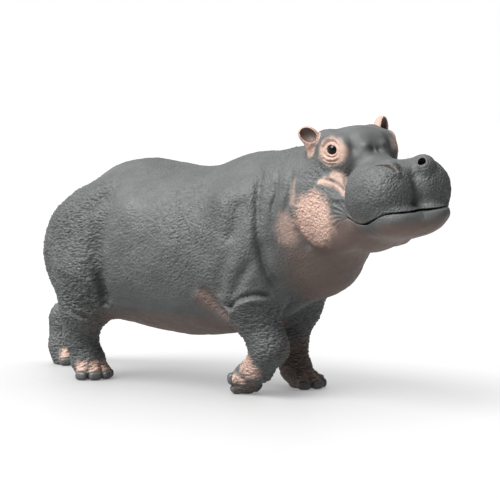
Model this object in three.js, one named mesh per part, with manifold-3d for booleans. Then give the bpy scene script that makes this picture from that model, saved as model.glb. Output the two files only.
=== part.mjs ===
// Common hippopotamus, life size, walking with its head turned a little to its right.
//
// Millimetres. +X runs forward to the head, +Y to the animal's left, +Z up, and the floor is z = 0.
// The flesh is one distance field, blended from named masses, negative inside. A surface net
// turns it into triangles, with a cell size of its own for each sub-part, and prisms part it
// into nodes with thin cuts. The eyes and nails are separate solids set into the flesh.

import * as THREE from 'three';
import { mergeVertices } from 'three/addons/utils/BufferGeometryUtils.js';
import Module from 'manifold-3d';

const wasm = await Module();
wasm.setup();

// ---------------------------------------------------------------- driving dimensions

const CUT = 0.4;                    // width of the thin cuts between sub-parts
const FAR = 2500;                   // reach of a cutter's open sides

const HEAD_AT = [1345, -190, 1472]; // midway between the eyes
const HEAD_YAW = -29;               // degrees, turned to the right
const HEAD_ROLL = 5;                // left side higher

const EYE_RADIUS = 37;
const EYE_AT = [-12, 180, 0];       // in the head's own frame, mirrored for the right

// Widths of the fillets where masses of flesh meet.
const FILLET = { skull: 60, lips: 50, lips_face: 52, nostrils: 30, lower_lip: 50, stalks: 16, trunk: 120,
  leg: 60, foot: 40, toes: 14, legs: 20, neck: 70, limbs: 66, tail: 40, tail_root: 30 };

// Widths of the net that each node is cut from.
const CELL = { ear: 22, lower_jaw: 62, head: 72, foot: 58, leg: 90, tail: 34, neck: 100, trunk: 138 };

// How far the nets of legs and feet reach beyond their chains and soles.
const MARGIN = { leg_side: 330, leg_top: 80, below: 90, across: 640, past_middle: 30, heel: 260, toes: 300,
  ankle: 90 };

// Settling of a net on its field, as shares of its cell: the probe for the slope, the distance that
// marks a vertex as closing the box, and the longest slide. The slope's square is kept above a least value.
const SETTLE = { probe: 0.02, far: 0.6, slide: 0.25, least_slope: 0.25, passes: 3 };

const HEEL_RADIUS = 82;
const TOE_TURNS = [-66, -22, 22, 66];   // degrees from straight ahead
const TOE_ROOT = { reach: 35, height: 24, radius: 40 };
const TOE_TIP = { back: 22, radius: 39 };   // how far behind the nail, and its radius
const NAIL_RADII = [28, 41, 28];    // along, across and up the toe
const NAIL_DROP = 12;               // how far the nail's middle lies below the toe's

// Trunk, mirrored masses given for the left side.
const TRUNK = {
  barrel: { at: [60, 0, 820], radii: [930, 495, 518] },
  rump: { at: [-310, 0, 890], radii: [490, 400, 485] },
  withers: { at: [520, 0, 1110], radii: [360, 230, 282] },
  chest: { at: [910, -10, 890], radii: [325, 280, 320] },
  haunch: { at: [-525, 250, 790], radii: [392, 215, 400] },
  shoulder: { at: [600, 290, 830], radii: [290, 185, 400] },
};
const NECK = [[640, 0, 1040, 385], [1080, -60, 1160, 340]];
const TAIL = [[-850, 0, 1090, 75], [-955, 0, 900, 48], [-965, 0, 700, 30]];

// Legs: each chain runs from the trunk to the ankle as x, y, z and the radius of the flesh there.
const LEGS = {
  foreleg_right: {
    chain: [[640, -290, 760, 185], [665, -300, 540, 150], [775, -275, 300, 103], [675, -240, 170, 84]],
    foot: { at: [572, -204, 104], along: [-0.3, -0.2, -0.93], up: [0.85, -0.5, -0.17],
      reach: 106, spread: 0.9 },
    trim: { rear: 470, front: 1120, inner: 405, outer: 730, ankle: 215 },
  },
  foreleg_left: {
    chain: [[590, 290, 760, 180], [612, 285, 480, 133], [600, 235, 270, 88], [640, 212, 120, 88]],
    foot: { at: [702, 195, 40], along: [0.97, 0.24, 0], up: [0, 0, 1], reach: 120, spread: 1 },
    trim: { rear: 500, front: 1120, inner: 405, outer: 730, ankle: 140 },
  },
  hindleg_right: {
    chain: [[-540, -290, 680, 230], [-600, -285, 450, 150], [-655, -255, 270, 98], [-620, -230, 110, 98]],
    foot: { at: [-602, -224, 40], along: [0.96, -0.28, 0], up: [0, 0, 1], reach: 114, spread: 1 },
    trim: { rear: -1300, front: -300, inner: 430, outer: 760, ankle: 140 },
  },
  hindleg_left: {
    chain: [[-600, 270, 680, 225], [-800, 285, 530, 165], [-1190, 238, 300, 96], [-1182, 205, 120, 92]],
    foot: { at: [-1160, 190, 40], along: [0.94, 0.34, 0], up: [0, 0, 1], reach: 114, spread: 1 },
    trim: { rear: -1600, front: -420, inner: 430, outer: 760, ankle: 150 },
  },
};

// Head masses in the head's own frame: x forward from between the eyes, y left, z up.
const HEAD = {
  cranium: { at: [-110, 0, -30], radii: [270, 195, 145] },
  temple: { at: [-190, 140, -120], radii: [170, 105, 140] },
  forehead: { at: [-10, 0, -10], radii: [120, 150, 105] },
  bridge: [[60, 0, -150, 130], [330, 0, -210, 130]],
  snout: { at: [380, 0, -225], radii: [185, 240, 140] },
  jaw: { at: [300, 0, -398], radii: [312, 232, 112] },
  throat: { at: [20, 0, -400], radii: [290, 225, 200] },
  eye_mound: { at: [-12, 148, -40], radii: [105, 58, 112] },
  lip_front: { at: [400, 125, -238], radii: [165, 155, 165] },
  lip_rear: { at: [310, 155, -240], radii: [150, 135, 170] },
  nostril: { at: [440, 105, -95], radii: [70, 48, 45] },
  jowl: { at: [-50, 185, -370], radii: [260, 125, 225] },
  crown: { at: [-135, 150, 10], radii: [115, 75, 100] },
  lower_lip: { at: [478, 92, -376], radii: [130, 122, 70], turn: [0, -6, 0] },
};
const NOSTRILS = [
  { pit: { at: [504, 84, -97], radii: [46, 32, 44], turn: [0, 24, -50] },
    rim: { at: [492, 90, -108], radii: [70, 48, 50], turn: [0, 24, -50] } },
  { pit: { at: [484, -152, -94], radii: [66, 12, 30], turn: [0, 16, 35] },
    rim: { at: [476, -148, -113], radii: [84, 26, 36], turn: [0, 16, 35] } },
];
const LID_OPENING = { at: [14, 213, 0], radii: [36, 27, 33], turn: [0, 0, -40] };
const EAR_PITCH = -6;
const EARS = {
  ear_left: { at: [-182, 240, 80], radii: [46, 86, 54], facing: 38, roll: 35 },
  ear_right: { at: [-172, -246, 82], radii: [38, 67, 52], facing: -38, roll: -35 },
};
const EAR_RIM = 13;                 // thickness of the ear's edge
const EAR_PUSH = 27;                // how far its hollow lies in front of it
const EAR_LIFT = 5;
const EAR_STALK = [[-178, 238, 30, 34], [-190, 190, -50, 44]];

// ---------------------------------------------------------------- distance fields

const rotation = (turn) => new THREE.Matrix4().makeRotationFromEuler(
  new THREE.Euler(...turn.map(THREE.MathUtils.degToRad), 'ZYX'));

// An ellipsoid, with its radii along its own axes.
function ball({ at, radii, turn = [0, 0, 0] }) {
  const e = rotation(turn).elements;
  return (x, y, z) => {
    const dx = x - at[0], dy = y - at[1], dz = z - at[2];
    const u = (e[0] * dx + e[1] * dy + e[2] * dz) / radii[0];
    const v = (e[4] * dx + e[5] * dy + e[6] * dz) / radii[1];
    const w = (e[8] * dx + e[9] * dy + e[10] * dz) / radii[2];
    const size = Math.hypot(u, v, w);
    const steep = Math.hypot(u / radii[0], v / radii[1], w / radii[2]);
    return steep > 0 ? size * (size - 1) / steep : -Math.min(...radii);
  };
}

// A round limb from one point to the next, each given as x, y, z, radius.
function limb([ax, ay, az, ar], [bx, by, bz, br]) {
  const lx = bx - ax, ly = by - ay, lz = bz - az;
  const square = lx * lx + ly * ly + lz * lz;
  return (x, y, z) => {
    const dx = x - ax, dy = y - ay, dz = z - az;
    const t = Math.min(1, Math.max(0, (dx * lx + dy * ly + dz * lz) / square));
    return Math.hypot(dx - lx * t, dy - ly * t, dz - lz * t) - ar - (br - ar) * t;
  };
}

// Smooth union: k is the width of the fillet between the fields.
const blend = (k, ...fields) => (x, y, z) => {
  let d = fields[0](x, y, z);
  for (let i = 1; i < fields.length; i += 1) {
    const other = fields[i](x, y, z);
    const h = Math.max(k - Math.abs(d - other), 0) / k;
    d = Math.min(d, other) - h * h * k / 4;
  }
  return d;
};

const chain = (k, points) => blend(k, ...points.slice(1).map((point, i) => limb(points[i], point)));

const mirrored = (mass) => ({ ...mass, at: [mass.at[0], -mass.at[1], ...mass.at.slice(2)],
  turn: mass.turn ? [-mass.turn[0], mass.turn[1], -mass.turn[2]] : undefined });

const pair = (mass) => [ball(mass), ball(mirrored(mass))];

// ---------------------------------------------------------------- head frame

const headFrame = new THREE.Matrix4().makeTranslation(...HEAD_AT)
  .multiply(rotation([HEAD_ROLL, 0, HEAD_YAW]));
const toHead = headFrame.clone().invert().elements;

const inHead = (field) => (x, y, z) => field(
  toHead[0] * x + toHead[4] * y + toHead[8] * z + toHead[12],
  toHead[1] * x + toHead[5] * y + toHead[9] * z + toHead[13],
  toHead[2] * x + toHead[6] * y + toHead[10] * z + toHead[14]);

const fromHead = ([x, y, z]) => new THREE.Vector3(x, y, z).applyMatrix4(headFrame);

// ---------------------------------------------------------------- flesh

const skull = blend(FILLET.skull, ball(HEAD.cranium), ball(HEAD.forehead), limb(...HEAD.bridge),
  ball(HEAD.snout), ball(HEAD.throat), ball(HEAD.jaw), ...pair(HEAD.jowl), ...pair(HEAD.temple),
  ...pair(HEAD.crown));
const lips = blend(FILLET.lips, ...pair(HEAD.lip_front), ...pair(HEAD.lip_rear));
const browed = blend(FILLET.skull, skull, ...pair(HEAD.eye_mound));
const face = blend(FILLET.nostrils, blend(FILLET.lips_face, browed, lips), ...pair(HEAD.nostril),
  ...NOSTRILS.map(({ rim }) => ball(rim)));
const stalks = [EAR_STALK, EAR_STALK.map((end) => mirrored({ at: end }).at)].map((ends) => limb(...ends));
const lipped = blend(FILLET.lower_lip, face, ...pair(HEAD.lower_lip));
const skullField = inHead(blend(FILLET.stalks, lipped, ...stalks));

const earCup = ({ at, radii, facing, roll }) => ({ at, radii, turn: [roll, EAR_PITCH, facing] });

function earHollow({ at: [x, y, z], radii: [deep, wide, high], facing, roll }) {
  const angle = THREE.MathUtils.degToRad(facing);
  return { at: [x + EAR_PUSH * Math.cos(angle), y + EAR_PUSH * Math.sin(angle), z + EAR_LIFT],
    radii: [deep, wide - EAR_RIM, high - EAR_RIM], turn: [roll, EAR_PITCH, facing] };
}

const earsField = inHead(blend(1, ...Object.values(EARS).map((ear) => ball(earCup(ear)))));

const trunkField = blend(FILLET.trunk, ball(TRUNK.barrel), ball(TRUNK.rump), ball(TRUNK.withers),
  limb(...NECK), ball(TRUNK.chest), ...pair(TRUNK.haunch), ...pair(TRUNK.shoulder));

// A foot's frame: along its toes, across it, and up through it from the sole.
function footFrame({ at, along, up }) {
  const x = new THREE.Vector3(...along).normalize();
  const z = new THREE.Vector3(...up);
  z.addScaledVector(x, -z.dot(x)).normalize();
  return new THREE.Matrix4().makeBasis(x, z.clone().cross(x), z).setPosition(...at);
}

// A point of a foot at an angle from straight ahead, in the foot's own frame.
function footRay({ spread }, turn, reach, height) {
  const angle = THREE.MathUtils.degToRad(turn);
  return new THREE.Vector3(reach * Math.cos(angle), reach * Math.sin(angle) * spread, height);
}

function toe(foot, turn) {
  const frame = footFrame(foot);
  const root = footRay(foot, turn, TOE_ROOT.reach, TOE_ROOT.height).applyMatrix4(frame);
  const tip = footRay(foot, turn, foot.reach - TOE_TIP.back, 0).applyMatrix4(frame);
  return limb([...root, TOE_ROOT.radius], [...tip, TOE_TIP.radius]);
}

function legField({ chain: points, foot }) {
  const core = limb(points[points.length - 1], [...foot.at, HEEL_RADIUS]);
  const toes = blend(FILLET.toes, ...TOE_TURNS.map((turn) => toe(foot, turn)));
  return blend(FILLET.foot, chain(FILLET.leg, points), core, toes);
}

const legsField = blend(FILLET.legs, ...Object.values(LEGS).map(legField));
const neckField = blend(FILLET.neck, trunkField, skullField);
const earless = blend(FILLET.tail_root, blend(FILLET.limbs, neckField, legsField), chain(FILLET.tail, TAIL));
const flesh = blend(FILLET.stalks, earless, earsField);

// ---------------------------------------------------------------- triangles

// A surface net of the field in a box: one vertex in each cell that the surface crosses.
function surfaceNet(field, low, high, cell) {
  const count = low.map((v, i) => Math.ceil((high[i] - v) / cell) + 1);
  const [nx, ny, nz] = count;
  const index = (i, j, k) => (k * ny + j) * nx + i;
  const value = new Float64Array(nx * ny * nz);
  for (let k = 0; k < nz; k += 1) {
    for (let j = 0; j < ny; j += 1) {
      for (let i = 0; i < nx; i += 1) {
        const rim = i === 0 || j === 0 || k === 0 || i === nx - 1 || j === ny - 1 || k === nz - 1;
        const d = field(low[0] + i * cell, low[1] + j * cell, low[2] + k * cell);
        value[index(i, j, k)] = rim ? Math.max(d, cell / 2) : d;
      }
    }
  }
  const vertices = [];
  const vertexOf = new Map();
  for (let k = 0; k < nz - 1; k += 1) {
    for (let j = 0; j < ny - 1; j += 1) {
      for (let i = 0; i < nx - 1; i += 1) {
        const sum = [0, 0, 0];
        let crossings = 0;
        for (let axis = 0; axis < 3; axis += 1) {
          for (let corner = 0; corner < 4; corner += 1) {
            const a = [0, 0, 0];
            a[(axis + 1) % 3] = corner & 1;
            a[(axis + 2) % 3] = corner >> 1;
            const b = [...a];
            b[axis] = 1;
            const va = value[index(i + a[0], j + a[1], k + a[2])];
            const vb = value[index(i + b[0], j + b[1], k + b[2])];
            if ((va < 0) !== (vb < 0)) {
              const t = va / (va - vb);
              a.forEach((v, n) => { sum[n] += v + (b[n] - v) * t; });
              crossings += 1;
            }
          }
        }
        if (crossings > 0) {
          vertexOf.set(index(i, j, k), vertices.length / 3);
          vertices.push(low[0] + (i + sum[0] / crossings) * cell,
            low[1] + (j + sum[1] / crossings) * cell, low[2] + (k + sum[2] / crossings) * cell);
        }
      }
    }
  }
  settle(field, vertices, cell);
  const faces = [];
  const step = [1, nx, nx * ny];
  for (let k = 0; k < nz - 1; k += 1) {
    for (let j = 0; j < ny - 1; j += 1) {
      for (let i = 0; i < nx - 1; i += 1) {
        const here = index(i, j, k);
        for (let axis = 0; axis < 3; axis += 1) {
          const inside = value[here] < 0;
          if (inside === (value[here + step[axis]] < 0)) continue;
          const u = step[(axis + 1) % 3], v = step[(axis + 2) % 3];
          const ring = [here - u - v, here - v, here, here - u].map((n) => vertexOf.get(n));
          if (!inside) ring.reverse();
          faces.push(...splitQuad(ring, vertices));
        }
      }
    }
  }
  const geometry = new THREE.BufferGeometry();
  geometry.setAttribute('position', new THREE.Float32BufferAttribute(vertices, 3));
  geometry.setIndex(faces);
  return geometry;
}

// Slide each vertex along the field's slope on to the surface, unless it closes the box.
function settle(field, vertices, cell) {
  const h = cell * SETTLE.probe;
  for (let n = 0; n < vertices.length; n += 3) {
    for (let pass = 0; pass < SETTLE.passes; pass += 1) {
      const [x, y, z] = vertices.slice(n, n + 3);
      const d = field(x, y, z);
      if (Math.abs(d) > cell * SETTLE.far) break;
      const slope = [field(x + h, y, z) - d, field(x, y + h, z) - d, field(x, y, z + h) - d]
        .map((v) => v / h);
      const square = Math.max(slope[0] ** 2 + slope[1] ** 2 + slope[2] ** 2, SETTLE.least_slope);
      const limit = cell * SETTLE.slide;
      slope.forEach((v, i) => {
        vertices[n + i] -= Math.max(-limit, Math.min(limit, d * v / square));
      });
    }
  }
}

// Two triangles of a quad, split along its shorter diagonal.
function splitQuad([a, b, c, d], vertices) {
  const apart = (p, q) => Math.hypot(vertices[3 * p] - vertices[3 * q],
    vertices[3 * p + 1] - vertices[3 * q + 1], vertices[3 * p + 2] - vertices[3 * q + 2]);
  return apart(a, c) < apart(b, d) ? [a, b, c, a, c, d] : [a, b, d, b, c, d];
}

// ---------------------------------------------------------------- solids

function solid(geometry) {
  const bare = geometry.clone();
  bare.deleteAttribute('normal');
  bare.deleteAttribute('uv');
  const merged = mergeVertices(bare, 1e-4);
  return new wasm.Manifold(new wasm.Mesh({ numProp: 3,
    vertProperties: Float32Array.from(merged.attributes.position.array),
    triVerts: Uint32Array.from(merged.index.array) }));
}

function toGeometry(manifold) {
  const mesh = manifold.getMesh();
  const geometry = new THREE.BufferGeometry();
  geometry.setAttribute('position', new THREE.Float32BufferAttribute(mesh.vertProperties, 3));
  geometry.setIndex([...mesh.triVerts]);
  geometry.computeVertexNormals();
  return geometry;
}

// An outline moved outwards by a distance, each corner along its mitre.
function grown(outline, by) {
  const points = outline.map(([x, y]) => new THREE.Vector2(x, y));
  const way = THREE.ShapeUtils.area(points) > 0 ? 1 : -1;
  return points.map((point, i) => {
    const before = points[(i + points.length - 1) % points.length];
    const after = points[(i + 1) % points.length];
    const normal = (a, b) => new THREE.Vector2(b.y - a.y, a.x - b.x).normalize().multiplyScalar(way);
    const first = normal(before, point), second = normal(point, after);
    const mitre = first.clone().add(second);
    return point.clone().addScaledVector(mitre, by / (1 + first.dot(second)));
  });
}

// A prism: an outline in two of the axes, run from start to end along the third.
function prism(outline, start, end, basis, grow = 0) {
  const shape = new THREE.Shape(grown(outline, grow));
  const geometry = new THREE.ExtrudeGeometry(shape, { depth: end - start + 2 * grow, bevelEnabled: false });
  return solid(geometry.translate(0, 0, start - grow).applyMatrix4(basis));
}

const AXES = {
  // outline across (y, z), run along x
  along_x: new THREE.Matrix4().makeBasis(new THREE.Vector3(0, 1, 0), new THREE.Vector3(0, 0, 1),
    new THREE.Vector3(1, 0, 0)),
  // outline in (x, z), run along -y
  side: new THREE.Matrix4().makeBasis(new THREE.Vector3(1, 0, 0), new THREE.Vector3(0, 0, 1),
    new THREE.Vector3(0, -1, 0)),
};
const headSide = headFrame.clone().multiply(AXES.side);

const floorBlock = prism([[-FAR, -FAR], [FAR, -FAR], [FAR, 0], [-FAR, 0]], -FAR, FAR, AXES.side);

// How far from the middle plane the cutters of legs and feet begin and end, and how far below the floor.
const LEG_SPAN = { near: 18, far: 560, below: -60 };
const FOOT_SPAN = { near: 14, far: 600, below: -60 };

function legRegion({ rear, front, inner, outer }, side, grow) {
  const [near, far] = [side * LEG_SPAN.near, side * LEG_SPAN.far];
  const outline = [[near, LEG_SPAN.below], [near, inner], [far, outer], [far, LEG_SPAN.below]];
  return prism(outline, rear, front, AXES.along_x, grow);
}

function footRegion({ rear, front, ankle }, side, grow) {
  const [near, far] = [side * FOOT_SPAN.near, side * FOOT_SPAN.far];
  return prism([[near, FOOT_SPAN.below], [near, ankle], [far, ankle], [far, FOOT_SPAN.below]],
    rear, front, AXES.along_x, grow);
}

const TOP = 400;                    // above the head, in its own frame
const OVER = 1700;                  // above the whole animal

// The mouth line from the muzzle's front to its corner, in the head's side view.
const MOUTH = [[620, -336], [550, -334], [490, -352], [420, -376], [350, -394], [250, -388], [205, -378]];
const JAW_REAR = [[120, -440], [60, -FAR]];
const jawRegion = (grow) => prism([...MOUTH, ...JAW_REAR, [FAR, -FAR], [FAR, MOUTH[0][1]]],
  -FAR, FAR, headSide, grow);

// The lines that part the neck from the head and from the trunk.
const NECK_HEAD = [[-330, -FAR], [-240, TOP]];
const headRegion = (grow) => prism([...NECK_HEAD, [FAR, TOP], [FAR, -FAR]], -FAR, FAR, headSide, grow);
const NECK_TRUNK = [[1110, 400], [620, OVER]];
const neckRegion = (grow) => prism([...NECK_TRUNK, [FAR, OVER], [FAR, NECK_TRUNK[0][1]]],
  -FAR, FAR, AXES.side, grow);

const TAIL_CUT = { low: [-935, 500], high: [-885, 1130], half_width: 70 };
const tailRegion = (grow) => prism(
  [[-FAR, TAIL_CUT.low[1]], TAIL_CUT.low, TAIL_CUT.high, [-FAR, TAIL_CUT.high[1]]],
  -TAIL_CUT.half_width, TAIL_CUT.half_width, AXES.side, grow);

// A box round each ear, in the head's frame: x and z in the side view, and how far out it runs.
const EAR_BOX = { rear: -260, front: -60, low: 40, high: 260, inner: 205, outer: 360 };
const earRegion = (side) => (grow) => prism(
  [[EAR_BOX.rear, EAR_BOX.low], [EAR_BOX.front, EAR_BOX.low],
    [EAR_BOX.front, EAR_BOX.high], [EAR_BOX.rear, EAR_BOX.high]],
  side > 0 ? -EAR_BOX.outer : EAR_BOX.inner, side > 0 ? -EAR_BOX.inner : EAR_BOX.outer, headSide, grow);

const eyeShape = (side, grow) => solid(new THREE.SphereGeometry(EYE_RADIUS + grow, 12, 8)
  .translate(EYE_AT[0], side * EYE_AT[1], EYE_AT[2]).applyMatrix4(headFrame));

// An egg-shaped hollow in the head, such as a nostril or the opening between the lids.
function hollow({ at, radii, turn }) {
  return solid(new THREE.SphereGeometry(1, 10, 6).scale(...radii).applyMatrix4(rotation(turn))
    .translate(...at).applyMatrix4(headFrame));
}

function nailShape(foot, turn, grow) {
  const [long, wide, high] = NAIL_RADII;
  const radii = [long, wide * foot.spread, high].map((r) => r + grow);
  return solid(new THREE.SphereGeometry(1, 8, 5).scale(...radii)
    .rotateZ(THREE.MathUtils.degToRad(turn))
    .translate(...footRay(foot, turn, foot.reach, -NAIL_DROP))
    .applyMatrix4(footFrame(foot)));
}

// ---------------------------------------------------------------- sub-parts

const SKIN = new THREE.MeshStandardMaterial({ color: 0x6f7472, roughness: 0.75, metalness: 0 });
const EYE = new THREE.MeshStandardMaterial({ color: 0x140d09, roughness: 0.12, metalness: 0 });
const NAIL = new THREE.MeshStandardMaterial({ color: 0x5d605e, roughness: 0.5, metalness: 0 });

const animal = new THREE.Group();

function addNode(name, shape, material) {
  const mesh = new THREE.Mesh(toGeometry(shape), material);
  mesh.name = name;
  animal.add(mesh);
}

// Flesh nodes, first come first served: each keeps what the ones before it haven't taken.
// Each node: its name, its cutter, the two corners of its net's box and the net's cell.
const parts = [
  ['ear_left', earRegion(1), [1180, 0, 1440], [1460, 230, 1700], CELL.ear],
  ['ear_right', earRegion(-1), [980, -480, 1400], [1240, -250, 1680], CELL.ear],
  ['lower_jaw', jawRegion, [1300, -800, 780], [2050, 60, 1260], CELL.lower_jaw],
  ['head', headRegion, [880, -800, 680], [2080, 420, 1700], CELL.head],
];
const sideOf = (name) => (name.endsWith('left') ? 1 : -1);
for (const [name, { trim, foot, chain: points }] of Object.entries(LEGS)) {
  const side = sideOf(name);
  const x = points.map((p) => p[0]);
  const [near, far] = [-side * MARGIN.past_middle, side * MARGIN.across];
  const low = [Math.min(...x) - MARGIN.leg_side, Math.min(near, far), -MARGIN.below];
  const high = [Math.max(...x) + MARGIN.leg_side, Math.max(near, far), trim.outer + MARGIN.leg_top];
  parts.push([name.replace('leg', 'foot'), (grow) => footRegion(trim, side, grow),
    [foot.at[0] - MARGIN.heel, low[1], low[2]],
    [foot.at[0] + MARGIN.toes, high[1], trim.ankle + MARGIN.ankle], CELL.foot]);
  parts.push([name, (grow) => legRegion(trim, side, grow), low, high, CELL.leg]);
}
parts.push(['tail', tailRegion, [-1050, -110, 620], [-820, 110, 1180], CELL.tail]);
parts.push(['neck', neckRegion, [640, -700, 480], [1500, 560, 1680], CELL.neck]);
parts.push(['trunk', null, [-1120, -640, 200], [1380, 640, 1560], CELL.trunk]);

const hollows = {
  head: [...NOSTRILS.map(({ pit }) => pit), LID_OPENING, mirrored(LID_OPENING)],
  ear_left: [earHollow(EARS.ear_left)],
  ear_right: [earHollow(EARS.ear_right)],
};
const taken = [];
const eyes = [1, -1].map((side) => ({ side, name: side > 0 ? 'eye_left' : 'eye_right' }));
for (const [name, region, low, high, cell] of parts) {
  const field = name.startsWith('ear') ? flesh : earless;
  let shape = solid(surfaceNet(field, low, high, cell));
  if (region) shape = shape.intersect(region(0));
  for (const other of taken) shape = shape.subtract(other(CUT));
  shape = shape.subtract(floorBlock);
  if (name === 'head') for (const { side } of eyes) shape = shape.subtract(eyeShape(side, CUT));
  for (const pit of hollows[name] ?? []) shape = shape.subtract(hollow(pit));
  if (name.includes('foot')) {
    const { foot } = LEGS[name.replace('foot', 'leg')];
    for (const turn of TOE_TURNS) shape = shape.subtract(nailShape(foot, turn, CUT));
  }
  const bodies = shape.decompose().sort((a, b) => b.volume() - a.volume());
  addNode(name, bodies[0], SKIN);
  if (region) taken.push(region);
}
for (const { side, name } of eyes) addNode(name, eyeShape(side, 0), EYE);
for (const [name, { foot }] of Object.entries(LEGS)) {
  TOE_TURNS.forEach((turn, i) => {
    addNode(`nail_${name.replace('leg', '')}_${i + 1}`, nailShape(foot, turn, 0).subtract(floorBlock), NAIL);
  });
}

// The origin stands on the floor under the middle of the whole animal.
const box = new THREE.Box3().setFromObject(animal);
const centre = box.getCenter(new THREE.Vector3());
animal.position.set(-centre.x, -centre.y, 0);

export default animal;
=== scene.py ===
"""Common hippopotamus, life size, walking with its head turned a little to its right.

The flesh is worked out in millimetres in the making frame: +X runs forward, +Y to the
animal's left, +Z up, and the floor is z = 0. The left eye's place gives the step from
there to the part's own frame, and every mesh is in metres.
"""
import logging
import math
from collections.abc import Callable
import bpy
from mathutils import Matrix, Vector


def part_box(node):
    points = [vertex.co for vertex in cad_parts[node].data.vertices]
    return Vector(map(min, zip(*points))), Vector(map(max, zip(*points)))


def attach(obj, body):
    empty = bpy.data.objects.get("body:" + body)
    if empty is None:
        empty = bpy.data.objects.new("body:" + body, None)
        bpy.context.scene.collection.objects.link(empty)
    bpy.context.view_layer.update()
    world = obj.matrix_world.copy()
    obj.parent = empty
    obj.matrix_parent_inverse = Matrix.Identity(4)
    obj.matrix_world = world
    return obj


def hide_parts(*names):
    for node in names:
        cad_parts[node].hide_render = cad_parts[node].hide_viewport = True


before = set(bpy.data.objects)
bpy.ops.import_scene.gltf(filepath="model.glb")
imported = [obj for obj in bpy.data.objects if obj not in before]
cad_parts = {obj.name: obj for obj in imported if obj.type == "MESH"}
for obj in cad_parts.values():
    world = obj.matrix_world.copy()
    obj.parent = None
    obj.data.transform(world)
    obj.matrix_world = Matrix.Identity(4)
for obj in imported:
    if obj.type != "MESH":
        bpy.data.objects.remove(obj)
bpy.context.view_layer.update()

from concurrent.futures import ThreadPoolExecutor
from dataclasses import dataclass
from enum import Enum

import bpy
import numpy as np
from mathutils import Vector

Array = np.ndarray
Vec = tuple[float, float, float]
Disc = tuple[float, float, float, float]
Measure = Callable[[Array], Array]
# The two levels of a value that a finish reads, and what it makes of them.
Spread = tuple[float, float, float, float]

LOG = logging.getLogger("hippopotamus")
MM = 0.001
# How far from the head's or a leg's middle its own shapes are worked out.
FAR = 900.0
SIDES = {"left": 1, "right": -1}
# Below this height the legs are worked out, and this near a foot its nails' seats.
LEG_TOP = 1150
FOOT_REACH = 300
CELL = 4.8


# ---------------------------------------------------------------- measures of shape

def turned(turn: Vec) -> Array:
    """Give the rotation that turns about x, then y, then z.

    Args:
        turn: the three angles in degrees.

    Returns:
        A 3 by 3 matrix whose columns are the turned axes.
    """
    (cx, cy, cz), (sx, sy, sz) = np.cos(np.radians(turn)), np.sin(np.radians(turn))
    about_x = np.array([[1, 0, 0], [0, cx, -sx], [0, sx, cx]])
    about_y = np.array([[cy, 0, sy], [0, 1, 0], [-sy, 0, cy]])
    about_z = np.array([[cz, -sz, 0], [sz, cz, 0], [0, 0, 1]])
    return about_z @ about_y @ about_x


def length(v: Array) -> Array:
    """Length of each row of v."""
    return np.sqrt(np.einsum("ij,ij->i", v, v))


def unit(v: Array) -> Array:
    """Rows of v at length one."""
    return v / np.maximum(length(v), 1e-9)[:, None]


def smooth(low: float, high: float, value: Array) -> Array:
    """Ease from 0 at low to 1 at high."""
    t = np.clip((value - low) / (high - low), 0, 1)
    return t * t * (3 - 2 * t)


def bell(distance: Array, width: float) -> Array:
    """A rounded bump, 1 at no distance and gone by about twice the width."""
    return np.exp(-np.square(distance / width))


def folded(q: Array) -> Array:
    """Points with the right side folded over on to the left."""
    return q * np.array([1, 0, 1], q.dtype) + np.abs(q) * np.array([0, 1, 0], q.dtype)


def blend(width: float, *distances: Array) -> Array:
    """Join shapes with a fillet.

    Args:
        width: how wide the fillet is.
        distances: each shape's distance at the same points.

    Returns:
        The distance to the joined shape.
    """
    total = distances[0]
    for other in distances[1:]:
        h = np.maximum(width - np.abs(total - other), 0) / width
        total = np.minimum(total, other) - h * h * (width / 4)
    return total


def carve(width: float, body: Array, tool: Array) -> Array:
    """Take a tool's shape out of a body, with an edge rounded by the width."""
    return -blend(width, -body, tool)


@dataclass(frozen=True)
class Ball:
    """An egg of flesh: its centre, its three radii, and its turn in degrees."""

    at: Vec
    radii: Vec
    turn: Vec = (0, 0, 0)

    def distance(self, p: Array) -> Array:
        """Measure how far the surface is.

        Args:
            p: the points.

        Returns:
            Each point's distance, negative inside.
        """
        d = p - np.asarray(self.at, p.dtype)
        if any(self.turn):
            d = d @ turned(self.turn).astype(p.dtype)
        scaled = d / np.asarray(self.radii, p.dtype)
        size = length(scaled)
        steep = length(scaled / np.asarray(self.radii, p.dtype))
        return size * (size - 1) / np.maximum(steep, 1e-9)

    def mirrored(self) -> "Ball":
        """The same egg on the other side of the middle."""
        x, y, z = self.at
        a, b, c = self.turn
        return Ball((x, -y, z), self.radii, (-a, b, -c))

    def grown(self, by: float) -> "Ball":
        """The same egg with each radius longer by a given amount."""
        return Ball(self.at, tuple(r + by for r in self.radii), self.turn)


@dataclass(frozen=True)
class Limb:
    """A round length of flesh between two ends, each given as x, y, z and radius."""

    start: Disc
    end: Disc

    def distance(self, p: Array) -> Array:
        """Measure how far the surface is.

        Args:
            p: the points.

        Returns:
            Each point's distance, negative inside.
        """
        start, end = np.asarray(self.start, p.dtype), np.asarray(self.end, p.dtype)
        along = end[:3] - start[:3]
        d = p - start[:3]
        t = np.clip(d @ along / (along @ along), 0, 1)
        return length(d - t[:, None] * along) - start[3] - (end[3] - start[3]) * t


def both(ball: Ball) -> tuple[Ball, Ball]:
    """An egg and its mirror image."""
    return ball, ball.mirrored()


def joined(width: float, shapes: list[Ball | Limb], p: Array) -> Array:
    """Distance to several shapes joined with one width of fillet."""
    return blend(width, *(shape.distance(p) for shape in shapes))


def chain(points: tuple[Disc, ...]) -> list[Limb]:
    """The limbs that run through a row of discs."""
    return [Limb(a, b) for a, b in zip(points, points[1:])]


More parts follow.
